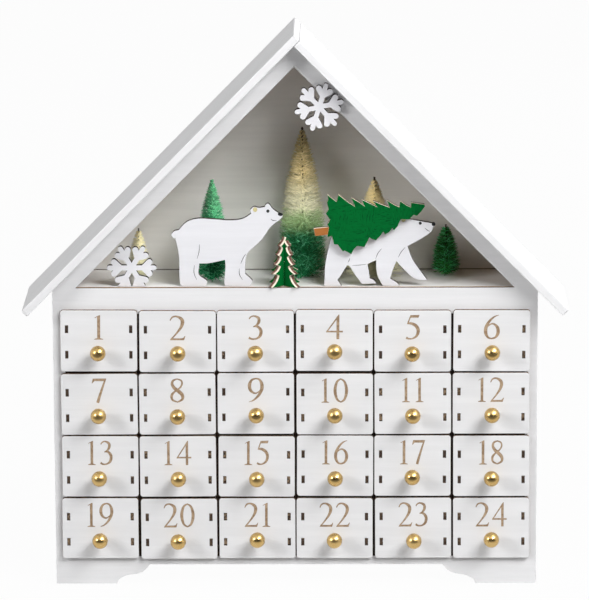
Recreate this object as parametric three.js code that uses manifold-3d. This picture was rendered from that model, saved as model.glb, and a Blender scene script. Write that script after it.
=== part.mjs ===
// A wooden advent calendar in the shape of a house: 24 drawers in a half-lapped crate, and above
// them a lit stage under a gabled roof, with flat bears, snowflakes and bottle-brush trees.
// Millimetres, X to the right, Y to the back, Z up. While it is built, Y = 0 is the front panel's
// face and X = 0 its middle. At the end the whole house is moved over its own origin.

import * as THREE from 'three';
import { mergeVertices } from 'three/addons/utils/BufferGeometryUtils.js';
import Module from 'manifold-3d';

const wasm = await Module();
wasm.setup();

// Clearances
const FIT = 0.3; // glue line between two pieces that are fixed to each other
const RUN = 0.4; // under and behind what slides
const LAP_PLAY = 0.3; // each side of a board in a half-lap slot

// House
const BODY_DEPTH = 65; // front panel's face to back panel's face
const PANEL = 4; // front and back panels
const WALL = 5; // side walls
const BASE = 5; // base board
const FLOOR = 4; // stage floor
const SIDE_MARGIN = 5.35; // front panel left showing beside the drawer fronts
const STRIP = 15.4; // front panel left showing between the drawer fronts and the stage
const FOOT_HEIGHT = 14; // clear height under the apron between the feet
const APRON = 5.2; // front panel left showing under the drawer fronts
const FOOT_WIDTH = 43; // flat sole of a corner foot
const FOOT_CURVE = 23.4; // width of the curve from the sole up to the apron

// Roof and window
const ROOF_PITCH = THREE.MathUtils.degToRad(45.55);
const ROOF_BOARD = 5.5;
const ROOF_OVERHANG = 14; // in front of the front panel
const EAVE_OVERHANG = 20.9; // beyond the side walls
const WINDOW_BORDER = 11.6; // width of the sloping bars beside the window

// Drawers
const COLUMNS = 6;
const ROWS = 4;
const FRONT_WIDTH = 53.8;
const FRONT_HEIGHT = 44;
const FRONT_PLY = 3;
const FRONT_GAP = 1.3; // between neighbouring drawer fronts
const FRONT_LAP = 3; // how far the outer fronts cover the edge of the panel's opening
const FRONT_CORNER = 2;
const CRATE_PLY = 3; // shelves and dividers
const TRAY_PLY = 2.2;
const TRAY_INSET = 3.3; // from the front's edge in to the tray's side
const TRAY_DROP = 4; // from the front's top edge down to the tray's rim
const TRAY_BACK_GAP = 2; // behind a closed drawer
const TAB_HEIGHT = 5.5; // ends of the tray's tabs that show in the front
const TAB_SPACING = 18.4;
const TAB_DROP = 0.7; // of the pair's middle, below the middle of the front
const TAB_RECESS = 0.3;
const KNOB_RADIUS = 5.5;
const KNOB_REACH = 10; // from the drawer's face to the middle of the ball
const KNOB_DROP = 6.5; // below the middle of the front
const KNOB_NECK = 2.2;

// Figures on the stage
const BEAR_PLY = 4;
const BEAR_SETBACK = 1; // behind the front panel
const STANDING_X = -48;
const WALKING_X = 58;
const CARRIED_PLY = 3;
const SLOT_TREE_PLY = 4;
const SLOT_TREE_HEIGHT = 34.6;
const SLOT_TREE_SOLE = 9.6; // half the width that stands on the stage
const SLOT_TREE_X = -7.4;
const SLOT_TREE_SETBACK = 4; // behind the front panel
const SNOWFLAKE_PLY = 4;
const SNOWFLAKE_RADIUS = 17.5;
const SNOWFLAKE_ARM = 3.9;
const SNOWFLAKE_LOBE = 2;
const SNOWFLAKE_TRIM = 1.8; // cut off the standing snowflake to give it a flat foot
const STANDING_FLAKE_X = -114.3;
const HANGING_FLAKE_X = 17.4;
const HANGING_FLAKE_DROP = 27.6; // below the window's top
const HANGING_FLAKE_TURN = THREE.MathUtils.degToRad(12.5);

// Lights and battery case
const CELL_RADIUS = 5.25;
const CELL_LENGTH = 43.5;
const CELL_NUB = 1;
const CELL_GAP = 0.7;
const CONTACT_HEIGHT = 3; // spring and post on the contact plates
const CONTACT_PLATE = 0.6;
const CASE_WALL = 1.5;
const COVER_PLY = 1.2;
const COVER_TONGUE = 0.7; // how far the cover's edge reaches into its groove
const CASE_LIP = 1.1; // case wall outside the cover's groove
const SWITCH_BAY = 6.5; // height of the switch's chamber
const SWITCH_TRAVEL = 3;
const SWITCH_KNOB = 2.5;
const CASE_BELOW_RIDGE = 16.7; // from the roof's inner ridge down to the case's top
const WIRE = 1.2; // diameter
const WIRE_HOLE = 2.6; // diameter
const LED_RADIUS = 2;
const LEDS_PER_SIDE = 5;
const LED_SINK = 5; // string's distance from the roof's underside
const LEAD_SPREAD = 0.9; // each lead in the battery case, from the middle

// Sizes that follow from those above
const COLUMN_PITCH = FRONT_WIDTH + FRONT_GAP;
const ROW_PITCH = FRONT_HEIGHT + FRONT_GAP;
const GRID_WIDTH = COLUMNS * COLUMN_PITCH - FRONT_GAP;
const GRID_BOTTOM = FOOT_HEIGHT + APRON;
const GRID_TOP = GRID_BOTTOM + ROWS * ROW_PITCH - FRONT_GAP;
const BASE_TOP = GRID_BOTTOM + (CRATE_PLY - FRONT_GAP) / 2;
const OPENING_TOP = GRID_TOP - FRONT_LAP;
const OPENING_HALF = GRID_WIDTH / 2 - FRONT_LAP;
const BODY_HALF = GRID_WIDTH / 2 + SIDE_MARGIN;
const STAGE = GRID_TOP + STRIP;
const INNER_FRONT = PANEL + FIT;
const INNER_BACK = BODY_DEPTH - PANEL - FIT;
const INNER_DEPTH = INNER_BACK - INNER_FRONT;
const INNER_HALF = BODY_HALF - WALL;
const RISE = Math.tan(ROOF_PITCH);
const ridgeInside = STAGE + BODY_HALF * RISE;
const windowTop = ridgeInside - WINDOW_BORDER / Math.cos(ROOF_PITCH);
const windowHalf = (windowTop - STAGE) / RISE;

// Height of the roof's underside above a point at distance x from the middle
const roofUnderside = (x) => ridgeInside - Math.abs(x) * RISE;
const wallTop = (x) => roofUnderside(x) - FIT / Math.cos(ROOF_PITCH);

// Materials
const finish = (color, roughness = 0.6, metalness = 0) =>
  new THREE.MeshStandardMaterial({ color, roughness, metalness });
const whitePaint = finish(0xf2f2f4, 0.55);
const bareBoard = finish(0x8a6a50, 0.8);
const bearWhite = finish(0xf7f7f7, 0.6);
const treeGreen = finish(0x0b7a35, 0.6);
const bristleGreen = finish(0x2f8f5d, 0.9);
const bristleCream = finish(0xe3d6b0, 0.9);
const whitePlastic = finish(0xf0f0ee, 0.4);
const blackPlastic = finish(0x202020, 0.4);
const warmLight = finish(0xffe6b0, 0.3);
const steel = finish(0xb8b8b8, 0.3, 1);

// A polygon, or a mixed outline: each run is one point for a straight edge, or several for a
// smooth curve through them
function outline(runs) {
  const shape = new THREE.Shape();
  const [start, ...rest] = runs;
  shape.moveTo(...start[0]);
  for (const run of rest) {
    if (run.length === 1) shape.lineTo(...run[0]);
    else shape.splineThru(run.map(([x, y]) => new THREE.Vector2(x, y)));
  }
  return shape;
}

const polygon = (points) => outline(points.map((point) => [point]));

const rectangle = (x0, y0, x1, y1) => polygon([[x0, y0], [x1, y0], [x1, y1], [x0, y1]]);

const extrude = (shape, depth, curveSegments = 2) =>
  new THREE.ExtrudeGeometry(shape, { depth, bevelEnabled: false, curveSegments });

// A board that stands across the house, its outline in X and Z
function upright(name, shape, thickness, frontY, material, curveSegments) {
  const mesh = new THREE.Mesh(extrude(shape, thickness, curveSegments), material);
  mesh.name = name;
  mesh.rotation.x = Math.PI / 2;
  mesh.position.y = frontY + thickness;
  return mesh;
}

// A board that lies flat, its outline in X and Y
function flat(name, shape, thickness, bottom, material) {
  const mesh = new THREE.Mesh(extrude(shape, thickness), material);
  mesh.name = name;
  mesh.position.z = bottom;
  return mesh;
}

// A board that stands front to back, its outline in Y and Z
function fin(name, shape, thickness, leftX, material) {
  const mesh = new THREE.Mesh(extrude(shape, thickness), material);
  mesh.name = name;
  mesh.rotation.set(Math.PI / 2, Math.PI / 2, 0);
  mesh.position.x = leftX;
  return mesh;
}

// Joining and cutting
function solid(geometry) {
  const bare = geometry.index ? geometry.toNonIndexed() : geometry.clone();
  bare.deleteAttribute('normal');
  bare.deleteAttribute('uv');
  const welded = mergeVertices(bare);
  const vertProperties = new Float32Array(welded.attributes.position.array);
  const triVerts = new Uint32Array(welded.index.array);
  return new wasm.Manifold(new wasm.Mesh({ numProp: 3, vertProperties, triVerts }));
}

function geometryOf(body) {
  const { vertProperties, triVerts } = body.getMesh();
  const geometry = new THREE.BufferGeometry();
  geometry.setAttribute('position', new THREE.BufferAttribute(vertProperties, 3));
  geometry.setIndex(new THREE.BufferAttribute(triVerts, 1));
  geometry.computeVertexNormals();
  return geometry;
}

const block = (x0, y0, z0, x1, y1, z1) =>
  solid(new THREE.BoxGeometry(x1 - x0, y1 - y0, z1 - z0)
    .translate((x0 + x1) / 2, (y0 + y1) / 2, (z0 + z1) / 2));

function named(name, geometry, material) {
  const mesh = new THREE.Mesh(geometry, material);
  mesh.name = name;
  return mesh;
}

// A round bar from one height on the Y axis to another
const barAlongY = (radius, y0, y1, sides) =>
  new THREE.CylinderGeometry(radius, radius, y1 - y0, sides).translate(0, (y0 + y1) / 2, 0);

// Front and back panels, with the corner feet and the curve between them cut in the lower edge
function housePanel() {
  const apronHalf = BODY_HALF - FOOT_WIDTH - FOOT_CURVE;
  const soleHalf = BODY_HALF - FOOT_WIDTH;
  const curve = [[0.08, 0.25], [0.34, 0.45], [0.57, 0.5], [0.8, 0.64], [1, 1]];
  const ogee = curve.map(([s, h]) => [soleHalf - s * FOOT_CURVE, h * FOOT_HEIGHT]);
  const left = ogee.map(([x, z]) => [-x, z]);
  return outline([
    [[-BODY_HALF, 0]],
    [[-soleHalf, 0]],
    left,
    [[apronHalf, FOOT_HEIGHT]],
    [...ogee.slice(0, -1).reverse(), [soleHalf, 0]],
    [[BODY_HALF, 0]],
    [[BODY_HALF, wallTop(BODY_HALF)]],
    [[0, wallTop(0)]],
    [[-BODY_HALF, wallTop(BODY_HALF)]],
  ]);
}

function frontPanel() {
  const shape = housePanel();
  shape.holes.push(rectangle(-OPENING_HALF, BASE_TOP, OPENING_HALF, OPENING_TOP));
  shape.holes.push(polygon([[-windowHalf, STAGE], [windowHalf, STAGE], [0, windowTop]]));
  return upright('front_panel', shape, PANEL, 0, whitePaint);
}

function backPanel() {
  const shape = housePanel();
  const hole = new THREE.Path();
  hole.absarc(0, wireHoleHeight, WIRE_HOLE / 2, 0, 2 * Math.PI, true);
  shape.holes.push(hole);
  return upright('back_panel', shape, PANEL, BODY_DEPTH - PANEL, whitePaint);
}

function sideWall(name, side) {
  const inner = side * INNER_HALF;
  const outer = side * BODY_HALF;
  const shape = polygon([
    [inner, 0], [outer, 0], [outer, wallTop(outer)], [inner, wallTop(inner)],
  ]);
  return upright(name, shape, INNER_DEPTH, INNER_FRONT, whitePaint);
}

// Roof boards meet in a butt joint: the left one runs over the end of the right one
function roofBoard(name, side) {
  const ridge = new THREE.Vector2(0, ridgeInside + ROOF_BOARD / Math.cos(ROOF_PITCH));
  const down = new THREE.Vector2(side * Math.cos(ROOF_PITCH), -Math.sin(ROOF_PITCH));
  const inward = new THREE.Vector2(-side * Math.sin(ROOF_PITCH), -Math.cos(ROOF_PITCH));
  const buttGap = side > 0 ? ROOF_BOARD + FIT : 0;
  const length = (BODY_HALF + EAVE_OVERHANG) / Math.cos(ROOF_PITCH);
  const at = (along, depth) => ridge.clone().addScaledVector(down, along)
    .addScaledVector(inward, depth).toArray();
  const shape = polygon([
    at(buttGap, 0), at(length, 0), at(length, ROOF_BOARD), at(buttGap, ROOF_BOARD),
  ]);
  return upright(name, shape, ROOF_OVERHANG + BODY_DEPTH, -ROOF_OVERHANG, whitePaint);
}

// Half-lapped crate. The dividers are whole at the front and the shelves are whole at the back.
const CRATE_FRONT = FIT;
const LAP_Y = (CRATE_FRONT + INNER_BACK) / 2;
const SHELF_Z = Array.from({ length: ROWS - 1 }, (_, i) => BASE_TOP + (i + 1) * ROW_PITCH);
const DIVIDER_X = Array.from({ length: COLUMNS - 1 }, (_, i) =>
  (i + 1 - COLUMNS / 2) * COLUMN_PITCH);

function shelf(name, top) {
  const shoulder = OPENING_HALF - FIT;
  const end = INNER_HALF - FIT;
  const slot = CRATE_PLY / 2 + LAP_PLAY;
  const notches = DIVIDER_X.flatMap((x) => [
    [x - slot, CRATE_FRONT], [x - slot, LAP_Y + LAP_PLAY],
    [x + slot, LAP_Y + LAP_PLAY], [x + slot, CRATE_FRONT],
  ]);
  const shape = polygon([
    [-end, INNER_BACK], [-end, INNER_FRONT], [-shoulder, INNER_FRONT], [-shoulder, CRATE_FRONT],
    ...notches,
    [shoulder, CRATE_FRONT], [shoulder, INNER_FRONT], [end, INNER_FRONT], [end, INNER_BACK],
  ]);
  return flat(name, shape, CRATE_PLY, top - CRATE_PLY, bareBoard);
}

function divider(name, middle) {
  const bottom = BASE_TOP + FIT;
  const top = STAGE - FLOOR - FIT;
  const slots = SHELF_Z.flatMap((z) => [
    [INNER_BACK, z - CRATE_PLY - LAP_PLAY], [LAP_Y - LAP_PLAY, z - CRATE_PLY - LAP_PLAY],
    [LAP_Y - LAP_PLAY, z + LAP_PLAY], [INNER_BACK, z + LAP_PLAY],
  ]);
  const shape = polygon([
    [CRATE_FRONT, bottom], [INNER_BACK, bottom], ...slots, [INNER_BACK, top],
    [INNER_FRONT, top], [INNER_FRONT, OPENING_TOP - FIT], [CRATE_FRONT, OPENING_TOP - FIT],
  ]);
  return fin(name, shape, CRATE_PLY, middle - CRATE_PLY / 2, bareBoard);
}

const baseBoard = () => flat(
  'base_board',
  rectangle(FIT - INNER_HALF, INNER_FRONT, INNER_HALF - FIT, INNER_BACK),
  BASE, BASE_TOP - BASE, whitePaint,
);

const stageFloor = () => flat(
  'stage_floor',
  rectangle(FIT - INNER_HALF, INNER_FRONT, INNER_HALF - FIT, INNER_BACK),
  FLOOR, STAGE - FLOOR, whitePaint,
);

// A drawer around the middle of its front: ply front, open tray behind it and ball knob.
// The tray's side tabs go through the front and their ends lie a little below its face.
function drawerGeometry() {
  const back = -FIT;
  const face = back - FRONT_PLY;
  const half = FRONT_WIDTH / 2;
  const trayHalf = half - TRAY_INSET;
  const trayBottom = (BASE_TOP - GRID_BOTTOM) - FRONT_HEIGHT / 2 + RUN;
  const trayTop = FRONT_HEIGHT / 2 - TRAY_DROP;
  const trayBack = BODY_DEPTH - PANEL - TRAY_BACK_GAP;

  const rounded = new THREE.Shape();
  const corners = [[1, -1, -0.5], [1, 1, 0], [-1, 1, 0.5], [-1, -1, 1]];
  for (const [sx, sz, turn] of corners) {
    rounded.absarc(
      sx * (half - FRONT_CORNER), sz * (FRONT_HEIGHT / 2 - FRONT_CORNER), FRONT_CORNER,
      turn * Math.PI, (turn + 0.5) * Math.PI, false,
    );
  }
  const front = solid(extrude(rounded, FRONT_PLY, 1).rotateX(Math.PI / 2).translate(0, back, 0));
  const tray = block(-trayHalf, back - FRONT_PLY / 2, trayBottom, trayHalf, trayBack, trayTop);
  const inside = block(
    TRAY_PLY - trayHalf, back, trayBottom + TRAY_PLY,
    trayHalf - TRAY_PLY, trayBack - TRAY_PLY, trayTop + TRAY_DROP / 2,
  );
  const knobY = face - KNOB_REACH;
  const neck = solid(barAlongY(KNOB_NECK, knobY, face + FRONT_PLY / 2, 8)
    .translate(0, 0, -KNOB_DROP));
  const ball = solid(new THREE.SphereGeometry(KNOB_RADIUS, 9, 6).translate(0, knobY, -KNOB_DROP));

  let body = front.add(tray).subtract(inside);
  for (const side of [-1, 1]) {
    for (const level of [-0.5, 0.5]) {
      const x = side * (trayHalf - TRAY_PLY / 2);
      const z = level * TAB_SPACING - TAB_DROP;
      body = body.subtract(block(
        x - TRAY_PLY / 2, face - TAB_RECESS, z - TAB_HEIGHT / 2,
        x + TRAY_PLY / 2, face + TAB_RECESS, z + TAB_HEIGHT / 2,
      ));
    }
  }
  return geometryOf(body.add(neck).add(ball));
}

function drawers() {
  const geometry = drawerGeometry();
  const group = new THREE.Group();
  for (let row = 0; row < ROWS; row++) {
    for (let column = 0; column < COLUMNS; column++) {
      const number = row * COLUMNS + column + 1;
      const drawer = named(`drawer_${String(number).padStart(2, '0')}`, geometry, whitePaint);
      drawer.position.x = (column - (COLUMNS - 1) / 2) * COLUMN_PITCH;
      drawer.position.z = GRID_TOP - FRONT_HEIGHT / 2 - row * ROW_PITCH;
      group.add(drawer);
    }
  }
  return group;
}

// Flat bears, each drawn from the middle of its feet
const BEAR_STANDING = [
  [[-37.1, 34.5]],
  [[-38.3, 36.7], [-36.5, 39.2], [-33.3, 40.2]], // tail
  [[-27, 46.2], [-17.6, 48.4], [1.1, 47.1], [11.1, 48], [17.6, 51.8]], // rump, back and neck
  [[17, 54.4], [19.5, 56.6], [22.3, 56]], // far ear
  [[27.3, 56.6]],
  [[27.6, 57.9], [29.8, 58.9], [32.3, 55.6]], // near ear
  [[35.4, 53.1], [39.8, 50.5]], // muzzle
  [[39.1, 48.9], [37.2, 47]],
  [[31, 42], [24.7, 33], [15.6, 24.5]], // throat and chest
  [[13.7, 19.7], [13.3, 8.8]],
  [[17, 5.3], [18.3, 3.2], [16.4, 0]], // front paw
  [[0.1, 0]],
  [[-1.5, 1.8], [-0.7, 13.3], [-1, 18.7]],
  [[-11.7, 16.4], [-18.8, 16.2]], // belly
  [[-19.5, 9.5], [-18, 6.9]],
  [[-15.5, 5.3], [-13.3, 3.2], [-14.6, 0]], // hind paw
  [[-31.2, 0]],
  [[-32.7, 2.5], [-33, 10.8], [-33.2, 22.3], [-35.6, 34.1]], // hind leg
];

const BEAR_WALKING = [
  [[-37.5, 0]],
  [[-37.2, 6.8], [-36.5, 17], [-32.7, 34.5]], // hind leg and rump
  [[-25, 43.5], [-5, 45.5], [13, 46]], // back, under the tree
  [[16.5, 49.2], [20.5, 49], [22.8, 47.5]], // ear
  [[38.2, 44.6]],
  [[39.6, 44.6], [40.2, 43.3], [39, 42.1]], // nose
  [[37.8, 39.2], [35.9, 37.3]],
  [[30.3, 33.5], [21, 28.4]], // throat
  [[24.1, 19.4], [29.1, 11.8], [34.7, 4.1]], // far front leg
  [[26.6, 4.7], [20, 10], [13.2, 17.5]],
  [[10.7, 11.8], [8.8, 5.1]], // near front leg
  [[13.5, 2.2], [15.3, 0]],
  [[3.5, 0]],
  [[0.3, 6.1], [-0.9, 11.2], [-1.2, 18.2]],
  [[-7.1, 15.7]], // belly
  [[-6.2, 10.5], [-5.6, 5.4]], // far hind leg
  [[-2.8, 4.1], [-0.9, 1.6]],
  [[-10.9, 1.3]],
  [[-15.9, 8], [-19.6, 13.8], [-21.5, 14.7]],
  [[-24.7, 9.3], [-28.1, 4.2]], // near hind leg
  [[-25.3, 0]],
];

const bearFront = PANEL + BEAR_SETBACK;
const onStage = STAGE + FIT;

function bear(name, runs, x) {
  const mesh = upright(name, outline(runs), BEAR_PLY, bearFront, bearWhite);
  mesh.position.x = x;
  mesh.position.z = onStage;
  return mesh;
}

// Tree that the walking bear carries: its butt is at the left and its tip points at the bear's
// head. Teeth lean back to the butt, each a fixed step further along and a little smaller.
const CARRIED_TEETH = 7;
const CARRIED_STEP = 8;
const CARRIED_LENGTH = 75.2;
const CARRIED_TILT = THREE.MathUtils.degToRad(14);
const CARRIED_BUTT = [-40, 39.7]; // middle of the trunk's end, from the bear's feet

function carriedTree(bearX) {
  const teeth = [];
  for (let i = 0; i < CARRIED_TEETH; i++) {
    const along = 18.5 + i * CARRIED_STEP;
    const half = 21.6 - 2.8 * i;
    const bite = 5.4 - 0.35 * i;
    teeth.push([along, half - bite], [along, half]);
  }
  const upper = teeth.slice(1);
  const lower = upper.map(([along, half]) => [along - 0.8, -half]).reverse();
  const shape = polygon([
    [-4.6, -2.4], [-4.8, 3.2], [5.7, 2.6], // trunk
    [8.5, 5.3], [6.7, 10.7], [9.1, 13.7], [9, 17.6], [11, 23.8], [15.9, 17.9], // foot of the crown
    ...upper, [CARRIED_LENGTH, 0], ...lower,
    [13.4, -18], [11.4, -17.7], [9.9, -13.2], [7.8, -12.9], [6.9, -6.4], [4.9, -3],
  ]);
  const tree = upright('carried_tree', shape, CARRIED_PLY, 0, treeGreen);
  const holder = new THREE.Group();
  holder.add(tree);
  holder.rotation.y = -CARRIED_TILT;
  holder.position.set(
    bearX + CARRIED_BUTT[0], bearFront - FIT - CARRIED_PLY, onStage + CARRIED_BUTT[1],
  );
  return holder;
}

// Two blades of a tree that slot together at right angles. Each branch droops to a blunt tip, and
// only the middle of the lowest one stands on the stage. A tier is [height, half width].
const SLOT_TREE_TIERS = [[0.9, 13.4], [9.7, 11.5], [16, 8.9], [22.6, 6.6], [28.8, 5]];
const SLOT_TIP = [0.6, 1.8]; // a tip leans out and is this thick
const SLOT_NOTCH = 0.6; // share of the next tier's width that is left under it

function slotTreeBlade(name, slotFromTop, turn) {
  const [lean, blunt] = SLOT_TIP;
  const right = [[[SLOT_TREE_SOLE, 0]]];
  SLOT_TREE_TIERS.forEach(([z, half], i) => {
    const next = SLOT_TREE_TIERS[i + 1];
    const tip = [half + lean, z + blunt];
    right.push([[half, z]], [tip]);
    if (next) {
      const notch = [next[1] * SLOT_NOTCH, next[0] - blunt / 4];
      const sag = [tip[0] + 0.55 * (notch[0] - tip[0]), tip[1] + 0.35 * (notch[1] - tip[1])];
      right.push([sag, notch]);
    }
  });
  const mirrored = right.flat().map(([x, z]) => [[-x, z]]).reverse();
  const shape = outline([...right, [[0, SLOT_TREE_HEIGHT]], ...mirrored]);
  const middle = SLOT_TREE_HEIGHT / 2;
  const half = SLOT_TREE_PLY / 2 + LAP_PLAY;
  const slot = slotFromTop
    ? block(-half, -SLOT_TREE_PLY, middle - LAP_PLAY / 2, half, SLOT_TREE_PLY, 3 * middle)
    : block(-half, -SLOT_TREE_PLY, -middle, half, SLOT_TREE_PLY, middle + LAP_PLAY / 2);
  const blade = solid(extrude(shape, SLOT_TREE_PLY)
    .translate(0, 0, -SLOT_TREE_PLY / 2).rotateX(Math.PI / 2));
  const mesh = named(name, geometryOf(blade.subtract(slot)), treeGreen);
  mesh.rotation.z = turn;
  return mesh;
}

function slottedTree(x, y) {
  const tree = new THREE.Group();
  tree.add(slotTreeBlade('slotted_tree_a', false, Math.PI / 4));
  tree.add(slotTreeBlade('slotted_tree_b', true, -Math.PI / 4));
  tree.position.set(x, y, onStage);
  return tree;
}

// Six-armed snowflake. Each arm ends in three round lobes, one ahead and one to each side.
function snowflakeShape() {
  const shape = new THREE.Shape();
  const half = SNOWFLAKE_ARM / 2;
  const lobe = SNOWFLAKE_LOBE;
  const endLobe = SNOWFLAKE_RADIUS - lobe;
  const sideLobe = [SNOWFLAKE_RADIUS * 0.715, SNOWFLAKE_RADIUS * 0.225];
  const neck = SNOWFLAKE_RADIUS * 0.49;
  const LOBE_STEPS = 4;
  const points = [];
  const arc = (turn, cx, cy, from, to) => {
    for (let i = 0; i <= LOBE_STEPS; i++) {
      const angle = THREE.MathUtils.degToRad(from + (to - from) * i / LOBE_STEPS);
      points.push(new THREE.Vector2(cx + lobe * Math.cos(angle), cy + lobe * Math.sin(angle))
        .rotateAround(new THREE.Vector2(), turn));
    }
  };
  const corner = (turn, x, y) =>
    points.push(new THREE.Vector2(x, y).rotateAround(new THREE.Vector2(), turn));
  for (let arm = 0; arm < 6; arm++) {
    const turn = arm * Math.PI / 3;
    corner(turn, half / Math.tan(Math.PI / 6), -half);
    corner(turn, neck, -half);
    arc(turn, sideLobe[0], -sideLobe[1], -150, 30);
    arc(turn, endLobe, 0, -115, 115);
    arc(turn, sideLobe[0], sideLobe[1], -30, 150);
    corner(turn, neck, half);
  }
  shape.setFromPoints(points);
  return shape;
}

function snowflake(name, turn, x, y, z, trim) {
  let body = solid(extrude(snowflakeShape(), SNOWFLAKE_PLY).rotateZ(turn).rotateX(Math.PI / 2));
  if (trim) {
    const wide = 2 * SNOWFLAKE_RADIUS;
    body = body.subtract(block(-wide, -wide, -wide, wide, wide, -trim));
  }
  const mesh = named(name, geometryOf(body), bearWhite);
  mesh.position.set(x, y + SNOWFLAKE_PLY, z);
  return mesh;
}

// Bottle-brush trees: a twisted wire core, with a strand on each facet of its collars.
// Collars climb the core at even steps, each turned a little further than the last.
const CORE_RADIUS = 1.2;
const CORE_SIDES = 7;
const COLLAR = 1;
const STRAND_LIFT = 0.12; // rise of a strand for its length
const BARE_TIP = 3; // wire that stands above the bristles
const BARE_FOOT = 1.5; // and below them
const COLLAR_TURN = 0.7; // radians from one collar to the next

function brushTree(name, tree, material) {
  const vertices = [];
  const faces = [];
  const span = tree.height - BARE_TIP - BARE_FOOT - COLLAR;
  const step = span / (tree.collars - 1);
  const strandLength = (z) => {
    const share = Math.min(1, Math.max(0.03, (tree.height - z) / tree.height));
    return CORE_RADIUS + (tree.radius - CORE_RADIUS) * (1 - (1 - share) ** tree.fullness);
  };
  const ring = (z, turn) => {
    const first = vertices.length / 3;
    for (let j = 0; j < CORE_SIDES; j++) {
      const angle = 2 * Math.PI * j / CORE_SIDES + turn;
      vertices.push(CORE_RADIUS * Math.cos(angle), CORE_RADIUS * Math.sin(angle), z);
    }
    return first;
  };
  const band = (low, high, visit) => {
    for (let j = 0; j < CORE_SIDES; j++) {
      const k = (j + 1) % CORE_SIDES;
      visit(low + j, low + k, high + k, high + j, j);
    }
  };
  const plain = (a, b, c, d) => faces.push(a, b, c, a, c, d);
  const strand = (z, turn) => (a, b, c, d, j) => {
    const angle = 2 * Math.PI * (j + 0.5) / CORE_SIDES + turn;
    const reach = strandLength(z);
    const tip = vertices.length / 3;
    vertices.push(reach * Math.cos(angle), reach * Math.sin(angle), z + reach * STRAND_LIFT);
    faces.push(a, b, tip, b, c, tip, c, d, tip, d, a, tip);
  };
  const cap = (first, up) => {
    for (let j = 1; j < CORE_SIDES - 1; j++) {
      if (up) faces.push(first, first + j, first + j + 1);
      else faces.push(first, first + j + 1, first + j);
    }
  };

  let below = ring(0, 0);
  cap(below, false);
  for (let i = 0; i < tree.collars; i++) {
    const z = BARE_FOOT + i * step;
    const turn = i * COLLAR_TURN;
    const low = ring(z, turn);
    band(below, low, plain);
    const high = ring(z + COLLAR, turn);
    band(low, high, strand(z + COLLAR / 2, turn));
    below = high;
  }
  const top = ring(tree.height, (tree.collars - 1) * COLLAR_TURN);
  band(below, top, plain);
  cap(top, true);

  const geometry = new THREE.BufferGeometry();
  geometry.setAttribute('position', new THREE.Float32BufferAttribute(vertices, 3));
  geometry.setIndex(faces);
  geometry.computeVertexNormals();
  return named(name, geometry, material);
}

// The smallest tree stands behind a snowflake and is a plain cone of bristles on its wire
function coneTree(name, tree, material) {
  const rim = tree.height - BARE_TIP;
  const profile = [
    [0, 0], [CORE_RADIUS, 0], [CORE_RADIUS, BARE_FOOT], [tree.radius, BARE_FOOT + 0.6],
    [tree.radius * 0.92, rim * 0.4], [tree.radius * 0.62, rim * 0.78], [CORE_RADIUS, rim],
    [CORE_RADIUS, tree.height], [0, tree.height],
  ];
  const points = profile.map(([r, z]) => new THREE.Vector2(r, z));
  return named(name, new THREE.LatheGeometry(points, 14).rotateX(Math.PI / 2), material);
}

// Places are from the house's middle and from the front panel's back
const BRUSH_TREES = [
  {
    name: 'brush_tree_tall', material: bristleGreen, x: 5.2, setback: 36,
    height: 107.2, radius: 16.6, fullness: 2.6, collars: 26,
  },
  {
    name: 'brush_tree_left', material: bristleGreen, x: -58.3, setback: 25,
    height: 71.4, radius: 12.7, fullness: 2.8, collars: 14,
  },
  {
    name: 'brush_tree_centre', material: bristleCream, x: 56.6, setback: 30,
    height: 72.4, radius: 23, fullness: 1.3, collars: 14,
  },
  {
    name: 'brush_tree_right', material: bristleGreen, x: 106.7, setback: 41.4,
    height: 36, radius: 10.4, fullness: 2.1, collars: 10,
  },
];
const CONE_TREE = {
  name: 'brush_tree_small', material: bristleCream, x: -110.4, setback: 29,
  height: 36.2, radius: 7.8,
};

function trees() {
  const group = new THREE.Group();
  for (const tree of BRUSH_TREES) {
    const mesh = brushTree(tree.name, tree, tree.material);
    mesh.position.set(tree.x, PANEL + tree.setback, onStage);
    group.add(mesh);
  }
  const small = coneTree(CONE_TREE.name, CONE_TREE, CONE_TREE.material);
  small.position.set(CONE_TREE.x, PANEL + CONE_TREE.setback, onStage);
  group.add(small);
  return group;
}

// Battery case on the back of the gable. Two cells stand in its open bay, which a sliding cover
// closes, and the switch has a chamber of its own above them.
const caseFront = BODY_DEPTH + FIT;
const bayFront = caseFront + CASE_WALL;
const cellY = bayFront + FIT + CELL_RADIUS;
const grooveFront = cellY + CELL_RADIUS + FIT;
const grooveBack = grooveFront + COVER_PLY + 2 * FIT;
const caseBack = grooveBack + CASE_LIP;
const bayHalf = 2 * CELL_RADIUS + CELL_GAP / 2 + FIT;
const caseHalf = bayHalf + COVER_TONGUE + FIT + CASE_WALL / 2;
const cellX = CELL_RADIUS + CELL_GAP / 2;
const caseTop = ridgeInside - CASE_BELOW_RIDGE;
const bayLength = 2 * (CONTACT_PLATE + CONTACT_HEIGHT) + CELL_LENGTH + CELL_NUB + 4 * FIT;
const switchFloor = caseTop - CASE_WALL - SWITCH_BAY;
const bayTop = switchFloor - CASE_WALL;
const bayBottom = bayTop - bayLength;
const caseBottom = bayBottom - CASE_WALL;
const cellBottom = bayBottom + CONTACT_PLATE + CONTACT_HEIGHT + 2 * FIT;
const cellTop = cellBottom + CELL_LENGTH + CELL_NUB;
const switchMiddle = switchFloor + SWITCH_BAY / 2;
const wireHoleHeight = switchMiddle;
const SLIDER_HALF = 3;
const SLIDER_DEPTH = 2.5;
const SLIDER_PROUD = 1.2;

function wireHole(y0, y1) {
  return solid(barAlongY(WIRE_HOLE / 2, y0, y1, 10).translate(0, 0, wireHoleHeight));
}

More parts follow.
